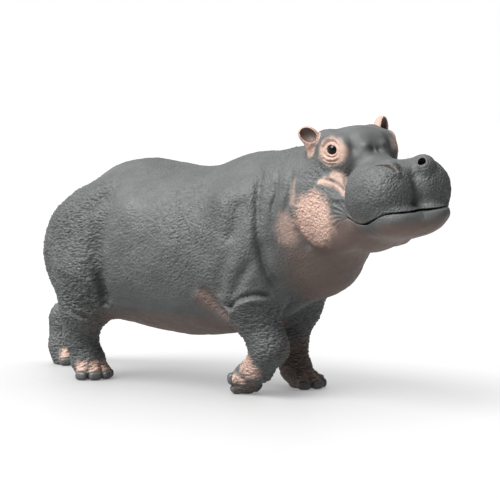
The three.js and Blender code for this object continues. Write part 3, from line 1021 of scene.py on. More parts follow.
@dataclass(frozen=True)
class FaceFolds:
    """Folds of the head, in its own frame, given for the left side."""

    lids: tuple[Crease, ...] = (
        Crease(Line(((-71, 13, 0), (-53, 46, 0), (-18, 62, 0), (18, 58, 0), (45, 38, 0), (60, 8, 0))),
               -11, 11, fades=(0.1, 0.3)),
        Crease(Line(((-63, 2, 0), (-46, 32, 0), (-21, 46, 0), (8, 47, 0), (34, 32, 0), (47, 6, 0))), 9, 5.5),
        Crease(Line(((-64, -12, 0), (-45, -30, 0), (-18, -41, 0), (12, -42, 0), (30, -35, 0), (44, -22, 0))),
               8, 4.5, 6, (0, -1, 0), (0.15, 0.3)),
        Crease(Line(((-72, -38, 0), (-50, -56, 0), (-18, -63, 0), (12, -63, 0), (32, -60, 0), (60, -49, 0))),
               8.5, 5, 6, (0, 1, 0), (0.1, 0.4)),
        Crease(Line(((-66, -66, 0), (-30, -82, 0), (6, -82, 0), (36, -76, 0))), 6, 6, 4, (0, 1, 0)),
        Crease(Line(((-97, -70, 0), (-88, -98, 0), (-66, -122, 0), (-36, -138, 0))), 5, 9, 4, (-1, -1, 0)),
    )
    swells: tuple[Swell, ...] = (
        Swell((74, 112, 8), (34, 34, 50), -20),
        Swell((108, 128, 0), (26, 26, 38), -14),
        Swell((150, 0, 0), (75, 60, 60), -16),
        Swell((150, 20, -10), (26, 22, 20), -12),
        Swell((130, 55, 14), (34, 24, 20), 9),
    )
    groove: Crease = Crease(Line(((470, 0, -100), (545, 0, -165), (570, 0, -220), (565, 0, -280),
                                  (575, 0, -320))), 32, 36)
    slit_fold: Crease = Crease(Line(((450, -165, -66), (496, -142, -80), (524, -107, -93))), 7, 5)
    cheek: tuple[Crease, ...] = (
        Crease(CHEEK, 17, 8),
        Crease(LIP_REAR, 14, 12, 7, (1, 0, 0.2), (0.6, 0.2)),
        Crease(JOWL_REAR, 15, 22, 6, (1, 0, 0.4)),
    )
    ridge_height: float = 11
    ridge_width: float = 13
    ridge_reach: float = 60
    ridge_start: float = 0.3
    lid_reach: float = 190
    lid_depth: float = -70
    fan: Fan = Fan()

    def height(self, head: Head, q: Array, side: int) -> Array:
        """How far one side's folds raise or sink each point.

        Args:
            head: the head that the folds lie on.
            q: points in the head's own frame.
            side: 1 for the left side, -1 for the right.

        Returns:
            The lift of each point.
        """
        own = q * np.array([1, side, 1])
        total = np.zeros(len(q))
        plane, depth = head.eye_plane(q, side)
        near = np.flatnonzero((length(plane) < self.lid_reach) & (depth > self.lid_depth))
        for fold in self.lids:
            total[near] += fold.height(plane[near])
        for line in CHEEK_RIDGES:
            apart, along, _ = line.nearest(own, self.ridge_reach)
            total += self.ridge_height * bell(apart, self.ridge_width) * smooth(0, self.ridge_start, along)
        for crease in self.cheek:
            total += crease.height(own)
        for swell in self.swells:
            total += swell.lift(own) * (own[:, 1] >= 0)
        if side > 0:
            total += self.groove.height(q)
        else:
            total += self.slit_fold.height(q)
        total += self.fan.height(own) * (own[:, 1] > 0)
        return total


@dataclass(frozen=True)
class Skin:
    """One unbroken skin over the trunk, neck, legs, tail, head and ears."""

    trunk: Trunk = Trunk()
    legs: tuple[Leg, ...] = four_legs()
    head: Head = Head()
    folds: Folds = Folds()
    face: FaceFolds = FaceFolds()
    low: Vec = (-1260, -660, -30)
    high: Vec = (2010, 660, 1690)
    neck_fillet: float = 70
    legs_fillet: float = 20
    limb_fillet: float = 66
    tail_fillet: float = 40
    root_fillet: float = 30
    ear_fillet: float = 16
    ear_edge: float = 6
    nail_edge: float = 6
    nail_play: float = 0.3
    sole_edge: float = 8
    fine_reach: Vec = (105, 95, 95)
    fine_sides: Vec = (2.9, 4.2, 3.8)
    lip_band: float = 22
    lip_start: float = 190
    lip_side: float = 4.5

    def distance(self, p: Array) -> Array:
        """Measure how far the flesh is, with its openings cut.

        Args:
            p: the points.

        Returns:
            Each point's distance, negative inside.
        """
        body = self.trunk.distance(p)
        near_head = length(p - np.asarray(self.head.at, p.dtype)) < FAR
        q = self.head.local(p[near_head])
        skull = self._filled(near_head, self.head.distance(q))
        body = blend(self.neck_fillet, body, skull)
        low = p[:, 2] < LEG_TOP
        legs = None
        for leg in self.legs:
            middle = leg.discs[1][0], leg.discs[1][1]
            close = low & (length(p[:, :2] - np.asarray(middle, p.dtype)) < FAR)
            own = self._filled(close, leg.distance(p[close]))
            legs = own if legs is None else blend(self.legs_fillet, legs, own)
        body = blend(self.limb_fillet, body, legs)
        body = blend(self.root_fillet, body, joined(self.tail_fillet, chain(self.trunk.tail), p))
        if near_head.any():
            part = self.head.openings(body[near_head], q)
            for ear in self.head.ears:
                part = blend(self.ear_fillet, part, ear.cup().distance(q))
            for ear in self.head.ears:
                part = carve(self.ear_edge, part, ear.hollow().distance(q))
            body[near_head] = part
        for leg in self.legs:
            beside = length(p[:, :2] - np.asarray(leg.foot.at[:2], p.dtype)) < FOOT_REACH
            close = (p[:, 2] < FOOT_REACH) & beside
            if close.any():
                body[close] = self.nail_seats(leg.foot, body[close], p[close])
        return carve(self.sole_edge, body, p[:, 2])

    @staticmethod
    def _filled(chosen: Array, values: Array) -> Array:
        """Spread the values of some points over all of them.

        Args:
            chosen: which points have a value.
            values: their values.

        Returns:
            A value for each point, far away for the rest.
        """
        whole = np.full(len(chosen), FAR, np.float32)
        whole[chosen] = values
        return whole

    def nail_seats(self, foot: Foot, body: Array, p: Array) -> Array:
        """Cut the seats that a foot's nails stand in.

        Args:
            foot: the foot.
            body: distance to the flesh at the points.
            p: the points.

        Returns:
            The distance with the seats cut.
        """
        for toe in foot.toes:
            centre, axes, radii = foot.nail_frame(toe)
            local = (p - centre.astype(p.dtype)) @ axes.astype(p.dtype)
            nail = Ball((0, 0, 0), tuple(radii + self.nail_play))
            body = carve(self.nail_edge, body, nail.distance(local))
        return body

    def fine_places(self, p: Array) -> Array:
        """Say how fine the net is in each place.

        Args:
            p: the points.

        Returns:
            The longest side of a triangle that each place allows.
        """
        q = self.head.local(p)
        halved = folded(q)
        allowed = np.full(len(p), 99.0)
        places = (self.head.eye, self.head.ears[0].at, self.head.nostrils[0].pit.at)
        for at, reach, side in zip(places, self.fine_reach, self.fine_sides):
            allowed = np.where(length(halved - np.array(at)) < reach, side, allowed)
        lips = np.abs(q[:, 2] - self.head.mouth_height(q[:, 0])) < self.lip_band
        return np.where(lips & (q[:, 0] > self.lip_start), self.lip_side, allowed)

    def sculpt(self, cell: float) -> Net:
        """Lay the net over the flesh, even it out and refine it.

        Args:
            cell: the mesh width.

        Returns:
            The net of the smooth flesh, in the making frame.
        """
        net = Net.over(self.distance, self.low, self.high, cell)
        net.settle(self.distance, 2, cell * 0.5)
        net.ease(1, 0.35)
        net.settle(self.distance, 1, cell * 0.5)
        before = net.refine(self.fine_places)
        net.settle(self.distance, 2, cell * 0.3, before)
        LOG.info("flesh: %d points, %d triangles", len(net.points), len(net.faces))
        return net

    def carved(self, net: Net) -> Array:
        """Raise the folds and wrinkles, and give the fine relief for the finish.

        Args:
            net: the net, whose points are moved.

        Returns:
            How high each point stands in the fine relief, from 0 to 1.
        """
        p, out = net.points, net.normals()
        q = self.head.local(p)
        keep = self.quiet(p, q)
        lift = self.folds.height(p)
        near = np.flatnonzero(length(q) < FAR)
        for side in SIDES.values():
            lift[near] += self.face.height(self.head, q[near], side)
        wrinkles = Wrinkles(self.head)
        fine = wrinkles.height(p, q, out)
        # Painted shade: the folds' valleys lower the relief value, and the finish darkens low values.
        fold_hollow_shade = smooth(5, 26, -lift)
        lift += wrinkles.lumps(p)
        net.points = p + out * ((lift + fine) * keep)[:, None]
        net.points[:, 2] = np.maximum(net.points[:, 2], 0)
        return smooth(-4.5, 3, fine * keep) * (1 - 0.5 * fold_hollow_shade)

    def quiet(self, p: Array, q: Array) -> Array:
        """Find where the skin lies tight on eyes, nails and floor, and isn't folded.

        Args:
            p: the points.
            q: the same points in the head's own frame.

        Returns:
            0 where the skin lies tight, up to 1 where it is free.
        """
        halved = folded(q)
        keep = smooth(0, 9, length(halved - np.array(self.head.eye)) - self.head.eye_radius)
        for ear in self.head.ears:
            keep *= smooth(-4, 10, ear.hollow().distance(q))
        for nostril in self.head.nostrils:
            keep *= smooth(-2, 8, nostril.pit.distance(q))
        for leg in self.legs:
            close = np.flatnonzero(length(p - np.array(leg.foot.at)) < 260)
            for toe in leg.foot.toes:
                centre, axes, radii = leg.foot.nail_frame(toe)
                apart = Ball((0, 0, 0), tuple(radii)).distance((p[close] - centre) @ axes)
                keep[close] *= smooth(0, 12, apart)
        return keep * smooth(0, 14, p[:, 2])


@dataclass(frozen=True)
class Markings:
    """Where the hide is flushed pink, dull brown (partly its pink painted as in shade), darkened by painted
    shade in cavities and creases, or dark at the seams round the nails.
    """

    skin: Skin
    eye: Ball = Ball((-8, 186, -12), (104, 75, 80))
    jowl: Ball = Ball((-54, 322, -380), (152, 100, 158))
    nape: Ball = Ball((962, 372, 1000), (62, 80, 92))
    bent_ankle: Ball = Ball((630, -325, 190), (105, 60, 60), (0, 32, 0))
    # Painted shade: the far forefoot's toes get less pink, as they look in shade.
    shaded_far_flush: float = 0.4
    # Painted shade: brown before each eye, where the pink looks brown in shade.
    eye_front: Vec = (72, 160, -26)
    # Painted shade: the dent before each eye is darkened.
    hollow: Vec = (114, 130, -4)
    edge_full: float = 0.45
    nape_full: float = 0.6
    ankle_full: float = 0.85
    eye_front_shade: float = 0.6
    # Strengths of painted shade: in the dent before each eye, in the cheek crease, inside the ear cups and
    # nostrils, and along the lids' edges.
    eye_hollow_shade: float = 0.72
    cheek_crease_shade: float = 0.5
    ear_cup_shade: float = 0.8
    nostril_shade: float = 0.4
    lid_edge_shade: float = 0.9
    seam_full: float = 0.6

    def on(self, net: Net) -> dict[str, Array]:
        """Lay the marks on the hide.

        Args:
            net: the finished net.

        Returns:
            The strength of each mark at each point, from 0 to 1.
        """
        p, out = net.points, net.normals()
        q = self.skin.head.local(p)
        cloud = Noise(11)
        drift = 18 * cloud.at(p / 45) + 8 * cloud.at(p / 14)
        return {"pink": self.pink(p, q, drift), "brown": self.brown(p, q, out, drift),
                "dark": self.dark(p, q)}

    def pink(self, p: Array, q: Array, drift: Array) -> Array:
        """How pink each point is.

        Args:
            p: the points.
            q: the points in the head's own frame.
            drift: an uneven step that frays the edges.

        Returns:
            The strength from 0 to 1.
        """
        head, halved = self.skin.head, folded(q)
        stalk = 1 - smooth(4, 22, head.ear_stalk.distance(halved) + 0.4 * drift)
        edge = JOWL_EDGE.nearest(halved, 90)[0] + 0.6 * drift
        mark = np.maximum.reduce([
            np.zeros(len(p)),
            1 - smooth(-18, 18, self.eye.distance(halved) + 0.5 * drift),
            1 - smooth(3, 14, np.minimum(*(ear.cup().distance(q) for ear in head.ears))),
            stalk * smooth(-150, -70, halved[:, 2]) * smooth(-196, -176, halved[:, 0]),
            1 - smooth(-44, 40, self.jowl.distance(halved) + 1.3 * drift),
            self.edge_full * (1 - smooth(2, 34, edge)),
            self.nape_full * (1 - smooth(-40, 46, self.nape.distance(folded(p)) + drift)),
            self.ankle_full * (1 - smooth(-20, 34, self.bent_ankle.distance(p) + drift)),
        ])
        for line, full, low, high in ((CHEEK_RIDGES[0], 0.9, 9, 26), (CHEEK, 0.8, 6, 20),
                                      (CHEEK_RIDGES[1], 0.72, 10, 46)):
            apart, _, _ = line.nearest(halved, 70)
            mark = np.maximum(mark, full * (1 - smooth(low, high, apart + 0.4 * drift)))
        for leg in self.skin.legs:
            # Painted shade: less pink on the far forefoot.
            share = self.shaded_far_flush if leg.name == "fore_left" else 1.0
            mark = np.maximum(mark, share * self.toe_flush(leg.foot, p, drift))
        return mark

    @staticmethod
    def toe_flush(foot: Foot, p: Array, drift: Array) -> Array:
        """How pink a foot is over its toes.

        Args:
            foot: the foot.
            p: the points.
            drift: an uneven step that frays the edges.

        Returns:
            The strength from 0 to 1.
        """
        mark = np.zeros(len(p))
        near = np.flatnonzero(length(p - np.array(foot.at)) < 220)
        local = (p[near] - np.array(foot.at)) @ foot.axes()
        turn = np.degrees(np.arctan2(local[:, 1], local[:, 0]))
        aside = np.min([np.abs(turn - toe) for toe in foot.toes], axis=0) + 0.15 * drift[near]
        between = 1 - 0.75 * smooth(14, 21, aside)
        out = np.hypot(local[:, 0], local[:, 1])
        above = 1 - smooth(56, 98, local[:, 2] + 0.8 * drift[near])
        mark[near] = 0.95 * between * smooth(40, 64, out) * above * (np.abs(turn) < 95)
        if foot.up[2] < 0.5:
            mark *= smooth(58, 92, p[:, 2] + drift)
        return mark

    def brown(self, p: Array, q: Array, out: Array, drift: Array) -> Array:
        """How dull brown each point is, under the jaw, throat, chest and belly, on the flank fold, in the
        nostrils, before the eyes and on the far forefoot: partly the hide's own tone there, partly its pink
        painted darker as it looks in shade.

        Args:
            p: the points.
            q: the points in the head's own frame.
            out: the outward directions.
            drift: an uneven step that frays the edges.

        Returns:
            The strength from 0 to 1.
        """
        x, y, z = p.T
        head = self.skin.head
        under_lip = head.mouth_height(q[:, 0]) - q[:, 2] + 0.6 * drift
        chin = smooth(25, 85, under_lip) * smooth(40, 200, q[:, 0]) * (length(q) < FAR)
        throat = smooth(-330, -430, q[:, 2] - 0.5 * drift) * smooth(-240, -140, q[:, 0])
        throat = throat * smooth(420, 180, q[:, 0])
        chest = smooth(850, 990, x + drift) * smooth(1000, 820, z + drift)
        # Painted shade: hide that faces down is given the dull brown.
        belly = smooth(500, 400, z + drift) * smooth(-0.1, -0.45, out[:, 2])
        belly = belly * smooth(-600, -350, x) * smooth(700, 600, x)
        both_sides = folded(p) * np.array([1, -1, 1])
        apart, along, _ = FLANK_FOLD.nearest(both_sides + np.array([40, 0, 30]), 200)
        flank = (1 - smooth(20, 130, apart + 1.4 * drift)) * smooth(0, 0.3, along)
        # Painted shade: brown before each eye.
        eye_front = length((folded(q) - np.array(self.eye_front)) / np.array((1, 1, 1.3)))
        # Painted shade: the far forefoot's lower part is given the dull brown.
        far_foot = np.array(self.skin.legs[1].foot.at[:2])
        low = smooth(330, 240, z + drift) * (length(p[:, :2] - far_foot) < 280)
        return np.maximum.reduce([
            chin, throat, 0.9 * chest, 0.9 * belly, self.pits(q), flank,
            self.eye_front_shade * (1 - smooth(14, 44, eye_front)), 0.9 * low * (y > 20),
        ])

    def pits(self, q: Array) -> Array:
        """1 inside the nostrils, 0 elsewhere."""
        pits = (nostril.pit.distance(q) for nostril in self.skin.head.nostrils)
        return smooth(4, -1, np.minimum(*pits))

    def dark(self, p: Array, q: Array) -> Array:
        """How dark each point is: painted shade inside the nostrils, ear cups and mouth, along the lids'
        edges, in the dent before each eye and in the cheek crease, and dark seams round the nails.

        Args:
            p: the points.
            q: the points in the head's own frame.

        Returns:
            The strength from 0 to 1.
        """
        head, halved = self.skin.head, folded(q)
        # Painted shade inside the ear cups.
        cup = np.zeros(len(p))
        for ear in head.ears:
            inside = smooth(3.5, 1.5, ear.hollow().distance(q)) * smooth(2, -16, ear.cup().distance(q))
            cup = np.maximum(cup, inside)
        # Painted shade along the lids' edges, where they meet the eyeball.
        rim = smooth(4.5, 0.8, length(halved - np.array(head.eye)) - head.eye_radius)
        # Painted shade inside the mouth's slit.
        slit = smooth(9, 4, np.abs(q[:, 2] - head.mouth_height(q[:, 0]))) * (q[:, 0] > 185)
        inner = slit * (length(q) < FAR) * smooth(-8, -16, self.lip_depth(q))
        # Painted shade in the dent before each eye.
        hollow = smooth(42, -2, length((halved - np.array(self.hollow)) / np.array((1, 1, 1.2))))
        # Painted shade in the cheek crease.
        fold = smooth(13, 4, CHEEK.nearest(halved, 40)[0])
        return np.maximum.reduce([
            self.ear_cup_shade * cup, self.nostril_shade * self.pits(q), self.lid_edge_shade * rim, inner,
            self.seam_full * self.seams(p), self.eye_hollow_shade * hollow, self.cheek_crease_shade * fold,
        ])

    def seams(self, p: Array) -> Array:
        """Find the skin's edges round the nails.

        Args:
            p: the points.

        Returns:
            1 along the edges, 0 away from them.
        """
        seam = np.zeros(len(p))
        for leg in self.skin.legs:
            near = np.flatnonzero(length(p - np.array(leg.foot.at)) < 220)
            for toe in leg.foot.toes:
                centre, axes, radii = leg.foot.nail_frame(toe)
                apart = Ball((0, 0, 0), tuple(radii)).distance((p[near] - centre) @ axes)
                seam[near] = np.maximum(seam[near], smooth(7, 2, apart))
        return seam

    def lip_depth(self, q: Array) -> Array:
        """Measure the depth below the lips as it would be without the mouth.

        Args:
            q: the points in the head's own frame.

        Returns:
            Each point's distance, negative inside, and 0 away from the lips.
        """
        head = self.skin.head
        near = np.flatnonzero((np.abs(q[:, 2] - head.mouth_height(q[:, 0])) < 12) & (q[:, 0] > 180))
        depth = np.zeros(len(q))
        depth[near] = head.distance(q[near])
        return depth


@dataclass(frozen=True)
class Lie:
    """How the wrinkles of one region lie: their turn, their grain and their height."""

    turn: Vec
    grain: Vec
    rise: float
    on_head: bool = False


LIES = {
    "haunch": Lie((0, -8, 0), (27, 27, 8.5), 7.4),
    "legs": Lie((0, 0, 0), (30, 30, 8), 6.6),
    "flank": Lie((0, -30, 0), (21, 21, 8), 5.4),
    "side": Lie((0, -22, 0), (20, 20, 9), 4.8),
    "neck": Lie((0, 8, 0), (9, 20, 34), 4.2),
    "blade": Lie((0, -24, 0), (15, 15, 7.5), 3.6),
    "jowl": Lie((0, 10, 0), (14, 14, 8.5), 5.6, on_head=True),
    "muzzle": Lie((0, -20, 0), (10.5, 10.5, 7.5), 3.6, on_head=True),
    "cheek": Lie((0, -20, 0), (18, 18, 9), 5.0, on_head=True),
}


@dataclass(frozen=True)
class Wrinkles:
    """The fine relief of the hide: cushions between narrow valleys, with a lie to each place."""

    head: Head
    pebble: Noise = Noise(1)
    row: Noise = Noise(2)
    lump: Noise = Noise(3)
    crown: Ball = Ball((60, 40, 10), (260, 130, 110))
    jowl: Ball = Ball((-62, 325, -372), (150, 120, 170))
    muzzle: Ball = Ball((430, 170, -220), (180, 160, 120))
    cheek: Ball = Ball((-20, 230, -220), (190, 90, 120))
    pebble_rise: float = 2.3
    vein_rise: float = 1.6

    def height(self, p: Array, q: Array, out: Array) -> Array:
        """Work out the fine relief.

        Args:
            p: the points.
            q: the points in the head's own frame.
            out: the outward directions.

        Returns:
            How far the relief raises or sinks each point.
        """
        calm = self.calm(p, q, out)
        pebbles = self.pebble_rise * self.pebble.at(p / 9)
        pebbles = pebbles + self.vein_rise * (self.pebble.veins(p / 15) - 0.6)
        total = pebbles * (1 - 0.8 * calm) * (0.35 + 0.65 * self.off_ridges(folded(q)))
        bend = 7 * self.lump.at(p / 55)
        for name, weight in self.regions(p, q, calm).items():
            lie = LIES[name]
            chosen = np.flatnonzero(weight > 0.02)
            own = (q[chosen] if lie.on_head else p[chosen]) + bend[chosen, None]
            own = own @ turned(lie.turn) / np.array(lie.grain)
            rows = self.row.at(own) + 0.35 * self.row.at(own * 1.7 + 7)
            rows = rows - 0.5 * np.exp(-9 * np.abs(self.row.at(own + 3)))
            total[chosen] += lie.rise * weight[chosen] * rows
        return total

    def lumps(self, p: Array) -> Array:
        """Low, broad unevenness of the flesh under the hide."""
        return 4.5 * self.lump.at(p / 150) + 2.4 * self.lump.at(p / 62)

    def calm(self, p: Array, q: Array, out: Array) -> Array:
        """Find where the hide is smooth: crown, nose bridge, chin, throat and belly.

        Args:
            p: the points.
            q: the points in the head's own frame.
            out: the outward directions.

        Returns:
            1 where the hide is smooth, 0 where it is rough.
        """
        crown = smooth(60, 0, self.crown.distance(folded(q)))
        chin = (self.head.mouth_height(q[:, 0]) - q[:, 2] > 4) & (q[:, 0] > 190)
        under = smooth(-0.1, -0.5, out[:, 2]) * smooth(620, 480, p[:, 2])
        under *= smooth(-430, -300, p[:, 0]) * smooth(560, 440, p[:, 0])
        throat = smooth(-380, -460, q[:, 2]) * smooth(-260, -100, q[:, 0]) * smooth(0, -0.5, out[:, 2])
        return np.maximum.reduce([crown, 0.9 * chin * smooth(900, 800, length(q)), under, throat])

    @staticmethod
    def off_ridges(halved: Array) -> Array:
        """Find the smooth ridges of the cheek.

        Args:
            halved: points of the head's own frame, folded on to the left side.

        Returns:
            0 on the ridges, 1 away from them.
        """
        apart = np.full(len(halved), 90.0)
        for line in (*CHEEK_RIDGES[:2], CHEEK):
            apart = np.minimum(apart, line.nearest(halved, 90)[0])
        return smooth(18, 42, apart)

    def regions(self, p: Array, q: Array, calm: Array) -> dict[str, Array]:
        """Share the hide out between the lies.

        Args:
            p: the points.
            q: the points in the head's own frame.
            calm: 1 where the hide is smooth.

        Returns:
            How strongly each lie shows at each point.
        """
        x, y, z = p.T
        halved = folded(q)
        rough = 1 - calm
        off_head = smooth(-60, 60, -q[:, 0] - 330 + 0.2 * q[:, 2])
        legs = smooth(640, 520, z) * rough * (np.abs(y) > 90) * (1 - bell(x - 60, 330))
        cheek = smooth(60, 0, self.cheek.distance(halved)) * (1 - off_head)
        return {
            "haunch": smooth(-230, -400, x) * smooth(1330, 1180, z) * smooth(330, 480, z),
            "legs": legs,
            "flank": bell(x - 330, 260) * bell(z - 930, 300) * off_head,
            "side": 0.7 * (bell(x + 120, 300) * bell(z - 800, 330)) * rough,
            "neck": smooth(640, 760, x) * off_head * smooth(620, 760, z) * rough,
            "blade": bell(x - 600, 230) * smooth(430, 560, z) * smooth(1380, 1150, z),
            "jowl": smooth(50, -30, self.jowl.distance(halved)) * (1 - 0.9 * off_head),
            "muzzle": smooth(90, -10, self.muzzle.distance(halved)),
            "cheek": 0.8 * cheek * self.off_ridges(halved),
        }


# ---------------------------------------------------------------- finishes

class Tint(Enum):
    """Colours of the animal and its floor, as linear red, green and blue."""

    GREY = (0.056, 0.059, 0.058)
    PALE_GREY = (0.072, 0.076, 0.075)
    # Painted shade in the relief's valleys, and the colour of the pores.
    PORE_AND_VALLEY_SHADE = (0.018, 0.019, 0.018)
    # Painted shade in the valleys of pink hide.
    PINK_VALLEY_SHADE = (0.215, 0.118, 0.090)
    PINK = (0.420, 0.283, 0.230)
    # Dull brown: partly the hide's own tone, partly its pink painted as in shade.
    BROWN_TONE_AND_SHADED_PINK = (0.105, 0.072, 0.060)
    # Painted shade in cavities and creases, and the dark seams round the nails.
    DARK_SHADE_AND_SEAM = (0.030, 0.021, 0.018)
    HORN = (0.066, 0.070, 0.068)
    HORN_TIP = (0.046, 0.044, 0.043)
    IRIS = (0.014, 0.008, 0.006)
    PUPIL = (0.003, 0.003, 0.003)
    FLOOR = (0.12, 0.12, 0.12)

    @property
    def rgba(self) -> tuple[float, float, float, float]:
        """The colour with full cover."""
        return (*self.value, 1.0)


class Nodes:
    """A material's nodes, added by short calls."""

    def __init__(self, name: str) -> None:
        """Start a material with one shader."""
        self.material = bpy.data.materials.new(name)
        self.material.use_nodes = True
        self.tree = self.material.node_tree
        self.shader = self.tree.nodes["Principled BSDF"]

    def add(self, kind: str, **inputs: object) -> bpy.types.Node:
        """Add a node.

        Args:
            kind: the node's type.
            inputs: values for its inputs, by name.

        Returns:
            The node.
        """
        node = self.tree.nodes.new(kind)
        for name, value in inputs.items():
            node.inputs[name.replace("_", " ")].default_value = value
        return node

    def link(self, source: bpy.types.NodeSocket, target: bpy.types.NodeSocket) -> None:
        """Join two sockets."""
        self.tree.links.new(source, target)

    def mark(self, name: str) -> bpy.types.NodeSocket:
        """Read a value that the mesh carries.

        Args:
            name: the name that it is carried under.

        Returns:
            The value's socket.
        """
        node = self.add("ShaderNodeAttribute")
        node.attribute_name = name
        return node.outputs["Fac"]

    def noise(self, scale: float, detail: float = 3.0, stretch: Vec = (1, 1, 1)) -> bpy.types.NodeSocket:
        """Add noise that is fixed to the piece.

        Args:
            scale: how many grains there are to a metre.
            detail: how many finer grains lie over them.
            stretch: how close the grains are along each axis.

        Returns:
            The noise's socket.
        """
        place = self.add("ShaderNodeTexCoord")
        mapping = self.add("ShaderNodeMapping", Scale=stretch)
        node = self.add("ShaderNodeTexNoise", Scale=scale, Detail=detail)
        self.link(place.outputs["Object"], mapping.inputs["Vector"])
        self.link(mapping.outputs["Vector"], node.inputs["Vector"])
        return node.outputs["Fac"]

    def ramp(self, source: bpy.types.NodeSocket, low: float, high: float,
             bottom: float = 0.0, top: float = 1.0) -> bpy.types.NodeSocket:
        """Spread a value between two levels over a new range.

        Args:
            source: the value.
            low: its lower level.
            high: its upper level.
            bottom: what the lower level becomes.
            top: what the upper level becomes.

        Returns:
            The new value's socket.
        """
        node = self.tree.nodes.new("ShaderNodeMapRange")
        for slot, value in enumerate((low, high, bottom, top), start=1):
            node.inputs[slot].default_value = value
        self.link(source, node.inputs[0])
        return node.outputs[0]

    def maths(self, operation: str, a: bpy.types.NodeSocket, b: bpy.types.NodeSocket | float) \
            -> bpy.types.NodeSocket:
        """Do a sum.

        Args:
            operation: the sum.
            a: the first value.
            b: the second value, or a number.

        Returns:
            The result's socket.
        """
        node = self.tree.nodes.new("ShaderNodeMath")
        node.operation = operation
        self.link(a, node.inputs[0])
        if isinstance(b, float):
            node.inputs[1].default_value = b
        else:
            self.link(b, node.inputs[1])
        return node.outputs[0]

    def mix(self, share: bpy.types.NodeSocket, a: Tint | bpy.types.NodeSocket,
            b: Tint | bpy.types.NodeSocket) -> bpy.types.NodeSocket:
        """Mix two colours.

        Args:
            share: the share of the second.
            a: the first colour.
            b: the second colour.

        Returns:
            The mixed colour's socket.
        """
        node = self.tree.nodes.new("ShaderNodeMix")
        node.data_type = "RGBA"
        self.link(share, node.inputs[0])
        for slot, colour in ((6, a), (7, b)):
            if isinstance(colour, Tint):
                node.inputs[slot].default_value = colour.rgba
            else:
                self.link(colour, node.inputs[slot])
        return node.outputs[2]

    def bump(self, height: bpy.types.NodeSocket, distance: float, strength: float) -> None:
        """Roughen the surface.

        Args:
            height: the height.
            distance: how deep it goes, in metres.
            strength: how strongly it shows.
        """
        node = self.add("ShaderNodeBump", Distance=distance, Strength=strength)
        self.link(height, node.inputs["Height"])
        self.link(node.outputs["Normal"], self.shader.inputs["Normal"])


@dataclass(frozen=True)
class HideFinish:
    """Bare grey hide, pink where it is thin and dull brown where that pink is partly painted as in shade,
    with pores, and painted shade in the valleys of its relief and in its cavities.
    """

    roughness: tuple[float, float] = (0.62, 0.48)
    specular: float = 0.42
    mottle: tuple[float, float] = (0.35, 0.68)
    flecks: Spread = (0.3, 0.62, 0.75, 1.0)
    # Painted shade: how far the low places of the relief are darkened.
    valleys: Spread = (0.05, 0.55, 0.40, 0.0)
    pores: Spread = (0.30, 0.42, 0.2, 0.0)
    grain_depth: float = 0.0022
    grain_strength: float = 0.55

    def material(self) -> bpy.types.Material:
        """Build the material."""
        n = Nodes("hide")
        grey = n.mix(n.ramp(n.noise(7.0, 5.0), *self.mottle), Tint.GREY, Tint.PALE_GREY)
        # Dull brown, partly painted shade on the pink.
        colour = n.mix(n.mark("brown"), grey, Tint.BROWN_TONE_AND_SHADED_PINK)
        flecks = n.ramp(n.noise(60.0, 3.0), *self.flecks)
        colour = n.mix(n.maths("MULTIPLY", n.mark("pink"), flecks), colour, Tint.PINK)
        # Painted shade in the valleys of the relief.
        valley = n.ramp(n.mark("relief"), *self.valleys)
        colour = n.mix(valley, colour, n.mix(n.mark("pink"), Tint.PORE_AND_VALLEY_SHADE, Tint.PINK_VALLEY_SHADE))
        pores = n.ramp(n.noise(230.0, 2.0), *self.pores)
        colour = n.mix(pores, colour, Tint.PORE_AND_VALLEY_SHADE)
        # Painted shade in cavities and creases, and dark seams round the nails.
        colour = n.mix(n.mark("dark"), colour, Tint.DARK_SHADE_AND_SEAM)
        n.link(colour, n.shader.inputs["Base Color"])
        n.link(n.ramp(n.noise(35.0, 3.0), 0.3, 0.7, *self.roughness), n.shader.inputs["Roughness"])
        n.shader.inputs["Specular IOR Level"].default_value = self.specular
        grain = n.maths("ADD", n.noise(150.0, 3.0), n.noise(420.0, 2.0))
        n.bump(grain, self.grain_depth, self.grain_strength)
        return n.material


@dataclass(frozen=True)
class EyeFinish:
    """A wet, nearly black eye with a dark brown iris."""

    roughness: float = 0.12
    specular: float = 0.2
    pupil: tuple[float, float] = (0.30, 0.36)
    streaks: Spread = (0.35, 0.65, 0.0, 0.5)

    def material(self) -> bpy.types.Material:
        """Build the material."""
        n = Nodes("wet_eye")
        colour = n.mix(n.ramp(n.mark("ring"), *self.pupil), Tint.PUPIL, Tint.IRIS)
        streaks = n.ramp(n.noise(260.0, 3.0), *self.streaks)
        colour = n.mix(streaks, colour, Tint.PUPIL)
        n.link(colour, n.shader.inputs["Base Color"])
        n.shader.inputs["Roughness"].default_value = self.roughness
        n.shader.inputs["Specular IOR Level"].default_value = self.specular
        return n.material


@dataclass(frozen=True)
class HornFinish:
    """Grey horn of the nails, darker in patches towards the ground."""

    roughness: tuple[float, float] = (0.42, 0.62)
    lower_patches: Spread = (0.3, 0.7, 0.4, 1.0)
    scratches: Spread = (0.32, 0.5, 0.5, 0.0)
    ridge_depth: float = 0.0015
    ridge_strength: float = 0.5

    def material(self) -> bpy.types.Material:
        """Build the material."""
        n = Nodes("nail_horn")
        share = n.maths("MULTIPLY", n.mark("tip"), n.ramp(n.noise(45.0, 4.0), *self.lower_patches))
        colour = n.mix(share, Tint.HORN, Tint.HORN_TIP)
        scratches = n.ramp(n.noise(90.0, 4.0, (1, 1, 0.25)), *self.scratches)
        colour = n.mix(scratches, colour, Tint.HORN_TIP)
        n.link(colour, n.shader.inputs["Base Color"])
        n.link(n.ramp(n.noise(80.0, 3.0), 0.3, 0.7, *self.roughness), n.shader.inputs["Roughness"])
        n.bump(n.noise(160.0, 4.0, (1, 1, 0.3)), self.ridge_depth, self.ridge_strength)
        return n.material


